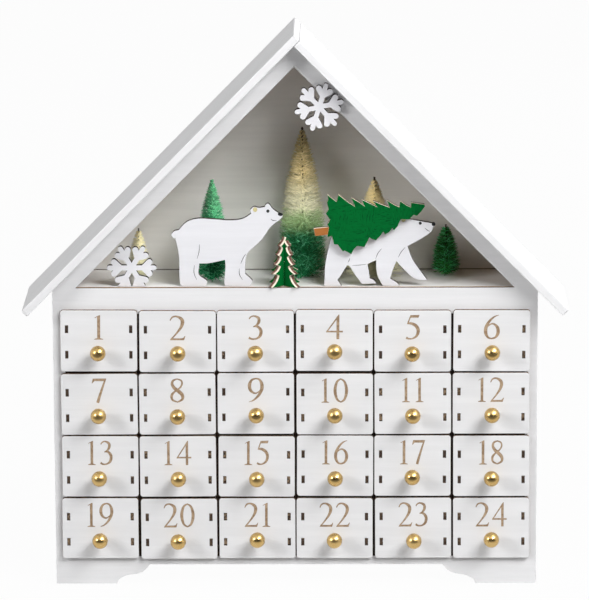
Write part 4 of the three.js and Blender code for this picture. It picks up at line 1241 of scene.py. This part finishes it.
# %% Crown and trunk
CROWN = [
    (22.8, 280.8), (27.9, 276.7), (29.1, 275.6), (30.6, 280.7), (37.8, 275.0), (42.0, 272.3),
    (39.6, 278.5), (45.6, 274.9), (48.7, 272.6), (46.9, 277.1), (53.4, 274.0), (57.4, 272.0),
    (54.6, 276.2), (60.9, 273.6), (66.2, 271.6), (64.2, 276.8), (69.2, 273.6), (73.0, 271.8),
    (73.6, 276.1), (78.0, 273.1), (81.2, 271.6), (81.1, 275.0), (86.1, 274.2), (90.6, 273.7),
    (90.9, 272.3), (88.5, 268.8), (85.4, 265.5), (83.0, 266.3), (80.1, 262.9), (74.5, 263.1),
    (73.3, 261.8), (72.1, 258.4), (69.3, 255.1), (68.1, 256.8), (66.0, 254.0), (62.9, 252.1),
    (61.9, 254.2), (59.5, 251.0), (56.8, 248.1), (53.5, 249.2), (52.2, 250.2), (50.6, 246.7),
    (48.7, 243.2), (46.1, 243.8), (43.6, 244.1), (41.5, 242.0), (39.5, 238.2), (36.9, 239.8),
    (34.8, 240.8), (33.6, 240.2), (31.6, 242.8), (30.0, 245.1), (27.4, 245.4), (26.5, 249.2),
    (25.9, 251.4), (22.8, 250.4), (23.3, 254.7), (23.9, 257.4), (22.6, 259.3), (24.6, 262.8),
    (21.7, 267.3), (23.6, 270.4), (22.4, 275.5), (23.4, 277.1),
]
TRUNK = [(13.3, 256.6), (25.5, 257.9), (25.0, 252.4), (14.4, 251.3)]
TRUNK_RECESS = 0.05  # the trunk's end lies just under the crown's paint


def drawn_board(name, outline, recess, finish):
    """A board from an outline in millimetres, recess deeper than the crown's face and back."""
    points = [Vector((x, CARRIED_FACE + recess, z)) * MM for x, z in outline]
    board = cut_board(name, points, TOWARDS_VIEWER, CARRIED_PLY - 2 * recess, rim=0.08)
    dress(board, finish, "house", ["carried_tree"])
    print(name, "outline points:", len(outline))


drawn_board("carried_tree_crown", CROWN, 0.0, carried_paint)
drawn_board("carried_tree_trunk", TRUNK, TRUNK_RECESS, trunk_paint)

# %% [markdown]
# ## The slotted tree
#
# Two blades with a slot each stand crosswise. Their faces are green, and the bare edges of the
# branches show the board's plies as cream and brown bands. Half an outline is drawn, each branch as
# one curve between a notch and a tip, and mirrored. That keeps both halves alike, as on real blades.

# %% Blade outlines
SLOT_TREE_PLY = 4.0
SLOT_TREE_HEIGHT = 34.6
SLOT_HALF = 2.1
SPLIT_TOP = 32.3  # where the slot comes out of the blade that is open at the top
NOTCH_DROP = 1.6
BURNT_SIDE = 0.7  # the laser burnt the back half of each edge
TIP_HALF = 0.3
BRANCH_BEND = (0.15, 0.62)  # shares of the way out and down, where a branch bends
BLADE_RIM = 0.3
# each branch: the height and reach of its tip, and the reach of the notch under it
BRANCHES = [(29.0, 5.2, 3.6), (22.6, 7.3, 4.8), (16.0, 9.4, 5.8), (9.7, 12.0, 7.2), (0.5, 14.0, 12.4)]


def blade_outline(open_top):
    """A blade's outline around its own axis. Half of the slot is cut from the top or from the foot."""
    start = np.array((SLOT_HALF, SPLIT_TOP) if open_top else (TIP_HALF, SLOT_TREE_HEIGHT))
    half = [(SLOT_HALF, SLOT_TREE_HEIGHT / 2), start] if open_top else [start]
    for height, reach, notch in BRANCHES:
        tip = np.array((reach, height))
        bend = start + (tip - start) * BRANCH_BEND
        for t in np.linspace(0.2, 1, 5):
            half.append(start * (1 - t) ** 2 + bend * 2 * t * (1 - t) + tip * t**2)
        start = np.array((notch, max(height - NOTCH_DROP, 0)))
        half.append(start)
    if not open_top:
        half += [(SLOT_HALF, 0), (SLOT_HALF, SLOT_TREE_HEIGHT / 2)]
    return [*half, *((-x, z) for x, z in reversed(half))]


print("points around a blade:", len(blade_outline(False)))

# %% Cut the blades
for node, side, open_top in (("slotted_tree_a", 1, False), ("slotted_tree_b", -1, True)):
    facing = Vector((side, -1, 0)).normalized()
    across = Vector((1, side, 0)).normalized()
    low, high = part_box(node)
    axis = Vector(((low.x + high.x) / 2, (low.y + high.y) / 2, low.z))
    face = axis + facing * SLOT_TREE_PLY / 2 * MM
    points = [face + across * x * MM + Vector((0, 0, z * MM)) for x, z in blade_outline(open_top)]
    burnt_plies = axis.dot(facing) / MM - BURNT_SIDE
    blade_paint = green_paint(f"{node}_paint", tuple(facing), 0.4, burnt_plies, 7.2)
    blade = cut_board(f"{node}_blade", points, facing, SLOT_TREE_PLY, rim=BLADE_RIM)
    dress(blade, blade_paint, "house", [node])
    print(node, "faces:", len(blade.data.polygons))

# %% [markdown]
# ## Bottle-brush trees
#
# Bristles are caught between two wires that are then twisted, so they fan out in two spiral sheets,
# and shears trim them to a cone. The strands are real geometry here: each is a thin, slightly curved
# spike. Whole arrays of them are computed at once, because a loop over thousands would be slow.

# %% Strands
STRAND_SIDES = 3
STRAND_RINGS = (0.0, 0.3, 0.55, 0.8)  # where along a strand its rings lie
TAPER = 0.5
SIDE_HINT = (0.13, 0.17, 1.0)  # no strand points this way
OUTWARD_LIFT = 0.5  # how far the normals of the whole brush look up
OWN_SHARE = 0.5  # the strand's own roundness in its normals


def strand_shells(centres, tip, thickness):
    """Closed spikes. centres holds one array of points for each ring, from the roots outwards, and
    tip holds their ends. The third result points out of the tree at each vertex: a brush scatters
    light between its fibres, and with such normals the whole brush takes the light as one soft body."""
    count = len(tip)
    root = centres[0]
    forward = tip - root
    forward /= np.linalg.norm(forward, axis=1)[:, None]
    side = np.cross(forward, SIDE_HINT)
    side /= np.linalg.norm(side, axis=1)[:, None]
    up = np.cross(forward, side)
    corners = []
    own = []
    for ring, centre in enumerate(centres):
        width = thickness[:, None] * (1 - TAPER * ring / len(centres))
        for turn in range(STRAND_SIDES):
            angle = 2 * math.pi * turn / STRAND_SIDES
            radial = side * math.cos(angle) + up * math.sin(angle)
            corners.append(centre + radial * width)
            own.append(radial)
    vertices = np.stack([*corners, tip], axis=1).reshape(-1, 3)
    outward = (tip - root) * (1, 1, 0)
    outward /= np.linalg.norm(outward, axis=1)[:, None]
    outward[:, 2] = OUTWARD_LIFT
    normals = (np.stack([*own, forward], axis=1) * OWN_SHARE + outward[:, None, :]).reshape(-1, 3)
    last = (len(centres) - 1) * STRAND_SIDES
    end = last + STRAND_SIDES
    triangles = [(0, 2, 1)]
    squares = []
    for i in range(STRAND_SIDES):
        j = (i + 1) % STRAND_SIDES
        triangles.append((last + i, last + j, end))
        squares += [(ring + i, ring + j, ring + STRAND_SIDES + j, ring + STRAND_SIDES + i)
                    for ring in range(0, last, STRAND_SIDES)]
    first = np.arange(count)[:, None, None] * (end + 1)
    faces = (np.array(triangles)[None] + first).reshape(-1, 3).tolist()
    faces += (np.array(squares)[None] + first).reshape(-1, 4).tolist()
    return vertices, faces, normals / np.linalg.norm(normals, axis=1)[:, None]


print("faces on one strand:", STRAND_SIDES * (len(STRAND_RINGS) + 1) - 2)

# %% [markdown]
# ## How the strands grow
#
# Even a trimmed brush is never quite regular. Each strand gets its own length, lift, sway and curl from
# a seeded draw, and the values for a whole tree stand in one table further down. Thin fibres also let
# light through, which solid strands can't do. So only some of the strands, the dense ones, cast a
# shadow, and light gets deep into the brush between them.

# %% Where the strands grow
CORE = 0.6  # the reach at the very tip, before the trim
LONGEST = 1.03
TRIM = 0.16  # how much shorter the shortest strands are
STRAND_SPREAD = 0.16  # of lift and sway
WAIST = (0.3, 0.45)  # shares of the height: the foot's curl and density end, the middle's begin
LOWEST = 0.3  # a strand lies on the floor rather than in it
ROOT = 0.02  # the share of its reach at which a strand leaves the wire
THINNEST = 0.7
THICKNESS_SPREAD = 0.6


def bristles(tree, random):
    """Strand arrays for one tree, in millimetres around its foot, and which strands are dense."""
    count = tree["strands"]
    height = tree["height"]
    low, high = tree["skirt"], height - tree["bare_tip"]
    z = low + (high - low) * (np.arange(count) + random.random(count)) / count
    share = np.clip((height - z) / height, 0.03, 1)
    reach = CORE + (tree["radius"] - CORE) * (1 - (1 - share) ** tree["fullness"])
    reach *= LONGEST - TRIM * random.random(count) ** 2
    sheet = (np.arange(count) % 2) * math.pi
    angle = 2 * math.pi * z / tree["twist"] + sheet + random.normal(0, tree["spread"], count)
    outward = np.column_stack([np.cos(angle), np.sin(angle), np.zeros(count)]) * reach[:, None]
    sideways = np.column_stack([-outward[:, 1], outward[:, 0], np.zeros(count)])
    upward = np.array([0, 0, 1.0]) * reach[:, None]
    lift = random.normal(tree["lift"], STRAND_SPREAD, (count, 1))
    sway = random.normal(0, STRAND_SPREAD, (count, 1))
    curliness = np.interp(z / height, WAIST, tree["curl"])[:, None]
    curl = random.normal(0, 1, (count, 1)) * curliness
    wave = random.normal(0, 1, (count, 1)) * curliness

    def along(part):
        """Points that lie that part of the way along each strand."""
        bend = math.sin(2 * math.pi * part)
        points = outward * (ROOT + (1 - ROOT) * part) + upward * (lift * part + wave * bend)
        points += sideways * (sway * part**2 + curl * bend)
        points[:, 2] = np.maximum(points[:, 2] + z, LOWEST)
        return points

    centres = [along(part) for part in STRAND_RINGS]
    thickness = tree["strand"] * (THINNEST + THICKNESS_SPREAD * random.random(count))
    dense = random.random(count) < np.interp(z / height, (*WAIST, 1), tree["dense"])
    return centres, along(1.0), thickness, dense


print("rings on one strand:", len(STRAND_RINGS))

# %% Wire
WIRE_STEPS = 3  # for each millimetre of height
WIRE_SIDES = 6
WIRE_TWIST = 3.2
WIRE_CLEARANCE = 0.5  # the wire ends below the tip


def tube(path, radius, sides):
    """A closed round tube along a path, in the path's own units."""
    path = np.array(path, float)
    forward = np.gradient(path, axis=0)
    forward /= np.linalg.norm(forward, axis=1)[:, None]
    side = np.cross(forward[0], (0.3, 0.4, 0.87) if abs(forward[0][2]) < 0.8 else (1.0, 0, 0))
    vertices = []
    for point, direction in zip(path, forward):
        side = side - direction * side.dot(direction)
        side /= np.linalg.norm(side)
        up = np.cross(direction, side)
        for i in range(sides):
            angle = 2 * math.pi * i / sides
            vertices.append(point + radius * (side * math.cos(angle) + up * math.sin(angle)))
    last = (len(path) - 1) * sides
    ends = [list(range(sides))[::-1], list(range(last, last + sides))]
    return vertices, ring_faces(len(path), sides) + ends


def twisted_wire(height, twist, radius):
    """Two strands of wire wound around each other, from the foot to the tip."""
    shells = []
    t = np.linspace(0, height, int(height * WIRE_STEPS))
    for start in (0, math.pi):
        angle = 2 * math.pi * t / twist + start
        path = np.column_stack([radius * np.cos(angle), radius * np.sin(angle), t])
        shells.append(tube(path, radius, WIRE_SIDES))
    return join_shells(shells)


print("faces on 10 mm of wire:", len(twisted_wire(10, WIRE_TWIST, 0.45)[1]))

# %% [markdown]
# ## Dyed fibre
#
# The tall tree is dip-dyed: green at the foot, then mint, cream and straw. A ramp over the height gives
# those bands, and noise makes their borders uneven. Every strand is an island of the mesh, and its own
# random number makes it a little lighter or darker than its neighbours. A weak sheen stands for the
# light that glances off so many thin fibres.

# %% Bristle and wire materials
UNEVEN_DYE = 12.0  # how far the noise moves a border


def bristle_material(name, stops, glint, sheen, darkest, lightest):
    """Dyed fibre. stops are (height in metres, colour) pairs up the tree. Some strands near the
    foot have the colour glint, and each is between darkest and lightest times its colour."""
    material, tree, shader = new_material(name, stops[0][1], 0.75, Specular_IOR_Level=0.3,
                                          Sheen_Weight=0.5, Sheen_Roughness=0.4, Sheen_Tint=sheen)
    wisp = noise(tree, add(tree, "ShaderNodeTexCoord").outputs["Object"], 160.0)
    level = calculate(tree, "SUBTRACT", axes(tree, "Object")["Z"], UNEVEN_DYE / 2 * MM)
    uneven = calculate(tree, "MULTIPLY_ADD", wisp, UNEVEN_DYE * MM, level)
    strand = add(tree, "ShaderNodeNewGeometry").outputs["Random Per Island"]
    colour = blend_colours(tree, remap(tree, strand, 0.6, 1.0), stops[0][1], glint)
    for (low, _), (high, upper) in zip(stops, stops[1:]):
        colour = blend_colours(tree, remap(tree, uneven, low, high), colour, upper)
    own = add(tree, "ShaderNodeHueSaturation", {
        "Color": colour, "Value": remap(tree, strand, 0.1, 1, darkest, lightest),
        "Saturation": remap(tree, strand, 0.6, 1, 1.0, 0.85)}).outputs[0]
    feed(tree, shader, Base_Color=own)
    return material


# %% Dyes
DEEP_GREEN = (0.003, 0.30, 0.09, 1)
MID_GREEN = (0.015, 0.46, 0.16, 1)
JADE = (0.20, 0.82, 0.38, 1)
LEAF_GREEN = (0.05, 0.50, 0.08, 1)
MINT = (0.55, 0.82, 0.36, 1)
PALE = (0.98, 0.95, 0.66, 1)
STRAW = (0.99, 0.79, 0.38, 1)
GLINT = (0.10, 0.78, 0.36, 1)
WARM_SHEEN = (0.85, 0.9, 0.5, 1)
GREEN_SHEEN = (0.5, 1, 0.65, 1)
wire_material = mottled("twisted_wire", (0.055, 0.035, 0.02, 1), 0.45, 0.6)
dyed_tall = bristle_material("dyed_tall_tree", [
    (0.028, DEEP_GREEN), (0.041, MINT), (0.052, PALE), (0.08, STRAW)], GLINT, WARM_SHEEN, 0.55, 0.95)
dyed_left = bristle_material("dyed_left_tree", [(0.035, MID_GREEN), (0.06, JADE)],
                             GLINT, GREEN_SHEEN, 0.35, 1.05)
dyed_right = bristle_material("dyed_right_tree", [(0.0, LEAF_GREEN)], GLINT, GREEN_SHEEN, 0.4, 1.3)
dyed_cream = bristle_material("dyed_cream_tree", [(0.0, PALE), (0.07, STRAW)],
                              PALE, WARM_SHEEN, 0.85, 1.02)
print("dyes:", [material.name for material in (dyed_tall, dyed_left, dyed_right, dyed_cream)])

# %% [markdown]
# ## Five trees
#
# The five trees differ only in size, fullness, dye and how wild their strands are. One table holds what
# sets each apart, over values that they all share, so that a tree is changed by one number.

# %% Plant the trees
TREE_SEED = 24
# curl is the waviness of the strands near the foot and in the upper half. dense is the share of
# strands that cast a shadow, near the foot, in the middle and at the tip.
COMMON = {"bare_tip": 3.0, "skirt": 0.8, "spread": 0.34, "lift": 0.26, "twist": 5.4, "strand": 0.28,
          "curl": (0.08, 0.06), "wire": 0.45, "dense": (0.3, 0.2, 0.0)}
TREES = {
    "brush_tree_tall": {"radius": 17.8, "fullness": 2.2, "strands": 4600, "curl": (0.2, 0.05),
                        "dense": (0.8, 0.3, 0.0), "paint": dyed_tall},
    "brush_tree_left": {"radius": 13.2, "fullness": 2.2, "strands": 2600, "curl": (0.18, 0.12),
                        "bare_tip": 0.5, "wire": 0.3, "dense": (0.8, 0.6, 0.5), "paint": dyed_left},
    "brush_tree_centre": {"radius": 23.0, "fullness": 1.3, "strands": 3200, "paint": dyed_cream},
    "brush_tree_right": {"radius": 10.8, "fullness": 2.1, "strands": 1500, "wire": 0.35,
                         "dense": (0.5, 0.5, 0.5), "paint": dyed_right},
    "brush_tree_small": {"radius": 8.0, "fullness": 2.2, "strands": 1000, "wire": 0.3,
                         "paint": dyed_cream},
}
random = np.random.default_rng(TREE_SEED)
for node, own in TREES.items():
    low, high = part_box(node)
    foot = Vector(((low.x + high.x) / 2, (low.y + high.y) / 2, low.z))
    tree_values = {**COMMON, **own, "height": (high.z - low.z) / MM}
    centres, tip, thickness, dense = bristles(tree_values, random)
    for kind, chosen in (("bristles", dense), ("clear_bristles", ~dense)):
        rings = [ring[chosen] for ring in centres]
        vertices, faces, normals = strand_shells(rings, tip[chosen], thickness[chosen])
        brush = new_piece(f"{node}_{kind}", vertices * MM, faces, foot, smooth=True)
        brush.data.normals_split_custom_set_from_vertices(normals)
        brush.visible_shadow = kind == "bristles"
        dress(brush, own["paint"], "house", [node])
    wire_height = tree_values["height"] - WIRE_CLEARANCE
    vertices, faces = twisted_wire(wire_height, WIRE_TWIST, tree_values["wire"])
    wire = new_piece(f"{node}_wire", np.array(vertices) * MM, faces, foot, smooth=True)
    dress(wire, wire_material, "house", [node])
    print(node, "strands:", own["strands"])

# %% [markdown]
# ## Battery case, cells and wire
#
# These parts keep the shape that the frame gives them. The case and its cover are moulded, and fine
# bumps stand for the mould's matt skin. A cell is a printed sleeve between bare steel ends: masks along
# its height draw both, and one cell stands upside down. The lamps' wire is lacquered copper.

# %% Plastic and metal
FINE_SKIN = {"scale": 2500.0, "depth": 0.012}
white_plastic = mottled("white_plastic", (0.78, 0.78, 0.76, 1), 0.42, **FINE_SKIN)
black_plastic = mottled("black_plastic", (0.02, 0.02, 0.02, 1), 0.4, **FINE_SKIN)
steel = mottled("plated_steel", (0.62, 0.62, 0.6, 1), 0.28, 1.0)
copper = mottled("lacquered_copper", (0.62, 0.36, 0.18, 1), 0.3, 0.9)
resin = mottled("lamp_resin", (0.92, 0.80, 0.52, 1), 0.12, Transmission_Weight=0.5, IOR=1.5)
print("finishes:", [material.name for material in (white_plastic, black_plastic, steel, copper, resin)])

# %% Sleeved cells
SLEEVE_BLACK = (0.03, 0.035, 0.04, 1)
BAND_COPPER = (0.45, 0.22, 0.08, 1)
END_STEEL = (0.6, 0.6, 0.58, 1)
BAND_START = (8.2 * MM, 8.6 * MM)  # from the middle towards the nub
SLEEVE_END = (20.3 * MM, 20.6 * MM)  # from the middle both ways


def sleeved_cell():
    """A dark sleeve with a copper-coloured band near the nub, between bare steel ends. The cell on
    the right stands upside down."""
    material, tree, shader = new_material("sleeved_cell", SLEEVE_BLACK, 0.3)
    low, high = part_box("battery_cell_1")
    across, _, height = axes(tree, "Object")
    from_middle = calculate(tree, "SUBTRACT", height, (low.z + high.z) / 2)
    upright = remap(tree, across, -0.5 * MM, 0.5 * MM, 1, -1)
    banded = remap(tree, calculate(tree, "MULTIPLY", from_middle, upright), *BAND_START)
    ends = remap(tree, calculate(tree, "ABSOLUTE", from_middle), *SLEEVE_END)
    sleeve = blend_colours(tree, banded, SLEEVE_BLACK, BAND_COPPER)
    scuffs = noise(tree, own_coordinates(tree), 900.0)
    feed(tree, shader, Base_Color=blend_colours(tree, ends, sleeve, END_STEEL),
         Metallic=calculate(tree, "MAXIMUM", ends, banded),
         Roughness=remap(tree, scuffs, 0.3, 0.7, 0.22, 0.38))
    return material


cell_finish = sleeved_cell()
case_parts = {
    "battery_case": (white_plastic, 0.3), "battery_cover": (white_plastic, 0.2),
    "switch_slider": (black_plastic, 0.25), "battery_cell_1": (cell_finish, 0.0),
    "battery_cell_2": (cell_finish, 0.0), "contact_bridge": (steel, 0.0), "led_string": (copper, 0.0),
}
for name, (material, width) in case_parts.items():
    finish_node(name, material, width)
print("finished CAD parts:", len(case_parts))

# %% [markdown]
# ## Drops of resin
#
# Each lamp on such a wire is a chip under a hardened drop of clear resin. A drop is a turned shape like
# a knob, so the same sweep makes it, and it lies along its side of the gable. Half of the light passes
# through it and half doesn't, because real drops are a little cloudy.

# %% Resin drops
LAMPS_PER_SIDE = 5
DROP_RADIUS = 2.15
DROP_LENGTH = 3.3
DROP_ROUNDNESS = 0.8
BEHIND_FRONT = 2.0
LAMP_INSET = 2.0  # the last lamp sits this far before the wire's end
WIRE_END = 0.4  # from the middle of the wire to the end of its box
WIRE_TOP = 0.6  # and to the top
string_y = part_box("front_panel")[1].y / MM + BEHIND_FRONT
string_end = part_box("led_string")[1].x / MM - WIRE_END
string_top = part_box("led_string")[1].z / MM - WIRE_TOP
drop_profile = [(DROP_RADIUS * math.sin(angle) ** DROP_ROUNDNESS, DROP_LENGTH * math.cos(angle))
                for angle in np.linspace(math.pi, 0, 12)]
shell, faces = turned_shell(drop_profile, 16)
for side, word in ((-1, "left"), (1, "right")):
    for lamp in range(1, LAMPS_PER_SIDE + 1):
        away = string_end * lamp / LAMPS_PER_SIDE - LAMP_INSET
        place = Vector((side * away, string_y, string_top - away * math.tan(ROOF_PITCH))) * MM
        drop = new_piece(f"lamp_drop_{word}_{lamp}", np.array(shell) * MM, faces, place, smooth=True)
        drop.rotation_euler = Euler((0, side * (math.pi / 2 + ROOF_PITCH), 0))
        dress(drop, resin, "house")
print("lamp drops:", 2 * LAMPS_PER_SIDE)

# %% [markdown]
# ## The air around the house
#
# The photograph has a white ground, and light that comes from lamps rather than from all around. So
# the world gives only a little light. Rays that come straight from the camera, or by way of a mirror
# or glass, see it as white. Towards the viewer the mirrored world is dim, as a dark room behind the
# camera would be, and that gives the brass balls their dark fronts.

# %% World
WORLD_LEVEL = 0.1
MIRRORED_FRONT = 0.06  # knobs mirror the dim side of the studio, behind the viewer
world = bpy.data.worlds.new("studio")
scene.world = world
world.use_nodes = True
tree = world.node_tree
tree.nodes.clear()
WHITE = (1, 1, 1, 1)


def dim_side(tree):
    """1 towards the viewer near the horizon, and 0 elsewhere in the sky."""
    _, back, up = axes(tree, "Generated")
    return calculate(tree, "MULTIPLY", remap(tree, back, -0.25, -0.8), remap(tree, up, 0.75, 0.35))


def is_glossy(tree):
    return add(tree, "ShaderNodeLightPath").outputs["Is Glossy Ray"]


def seen_directly(tree):
    """1 for rays that see the ground itself, also in a mirror or through glass."""
    path = add(tree, "ShaderNodeLightPath").outputs
    either = calculate(tree, "MAXIMUM", path["Is Camera Ray"], path["Is Glossy Ray"])
    return calculate(tree, "MAXIMUM", either, path["Is Transmission Ray"])


mirrored = calculate(tree, "MULTIPLY", dim_side(tree), is_glossy(tree))
level = remap(tree, mirrored, 0, 1, 1.0, MIRRORED_FRONT)
lit = add(tree, "ShaderNodeBackground", {"Color": WHITE, "Strength": WORLD_LEVEL}).outputs[0]
seen = add(tree, "ShaderNodeBackground", {"Color": WHITE, "Strength": level}).outputs[0]
sky = add(tree, "ShaderNodeMixShader", {0: seen_directly(tree), 1: lit, 2: seen})
add(tree, "ShaderNodeOutputWorld", {0: sky.outputs[0]})
print("world strength:", WORLD_LEVEL)

# %% [markdown]
# ## The floor
#
# The house stands on a white sweep of paper. A real sweep is lit until it is as bright as the paper
# behind it. Here a glow that only the camera, mirrors and glass can see does that, so it throws no
# light on the house, and the small rest of plain paint keeps the house's shadow.

# %% Floor
FLOOR_RADIUS = 9.0
FLOOR_CORNERS = 64
FLOOR_GLOW = 0.97  # the rest keeps the calendar's shadow
MIRRORED_FLOOR = 0.2  # in a mirror the floor grows dimmer towards the viewer
floor_material, tree, shader = new_material("studio_floor", (0.45, 0.45, 0.45, 1), 0.9)
towards_viewer = remap(tree, axes(tree, "Object")["Y"], -0.05, -0.3)
dimmed = calculate(tree, "MULTIPLY", towards_viewer, is_glossy(tree))
level = remap(tree, dimmed, 0, 1, 1.0, MIRRORED_FLOOR)
glow = add(tree, "ShaderNodeEmission", {"Color": WHITE, "Strength": level}).outputs[0]
share = calculate(tree, "MULTIPLY", seen_directly(tree), FLOOR_GLOW)
ground = add(tree, "ShaderNodeMixShader", {0: share, 1: shader.outputs[0], 2: glow})
feed(tree, tree.nodes["Material Output"], Surface=ground.outputs[0])
rim = [(FLOOR_RADIUS * math.cos(angle), FLOOR_RADIUS * math.sin(angle), 0)
       for angle in np.linspace(0, 2 * math.pi, FLOOR_CORNERS, endpoint=False)]
floor = new_piece("studio_floor", rim, [list(range(FLOOR_CORNERS))])
floor.data.materials.append(floor_material)
print("floor radius in metres:", FLOOR_RADIUS)

# %% [markdown]
# ## Five soft lamps
#
# In the photograph the knobs' shadows fall to the lower left, and the walls of the gable room are
# darker on the right. Three lamps to the upper right of the viewer do that, and their sizes set how
# soft the shadows are. One lamp fills in from the left, and a weak one shines from behind, as a window
# might, so that the back isn't lost in the dark.

# %% Lamps
LAMP_AIM = Vector((0, 0, 0.2))
LAMPS = {  # place and size in metres, power in watts
    "key_lamp": ((0.78, -1.46, 1.49), 0.7, 18.0),
    "high_lamp": ((1.14, -0.72, 1.81), 1.3, 15.0),
    "right_lamp": ((1.23, -1.03, 1.55), 0.8, 22.0),
    "left_lamp": ((-1.56, -1.17, 0.99), 0.6, 18.0),
    "back_lamp": ((1.1, 1.8, 0.6), 1.0, 9.0),
}
for name, (place, size, power) in LAMPS.items():
    lamp = bpy.data.objects.new(name, bpy.data.lights.new(name, "AREA"))
    lamp.data.size = size
    lamp.data.energy = power
    lamp.location = place
    lamp.rotation_euler = (Vector(place) - LAMP_AIM).to_track_quat("Z", "Y").to_euler()
    scene.collection.objects.link(lamp)
print("watts:", sum(power for _, _, power in LAMPS.values()))

# %% [markdown]
# ## The end
#
# Colours are shown as they are written, with the Standard view transform.

# %% View transform
scene.view_settings.view_transform = "Standard"
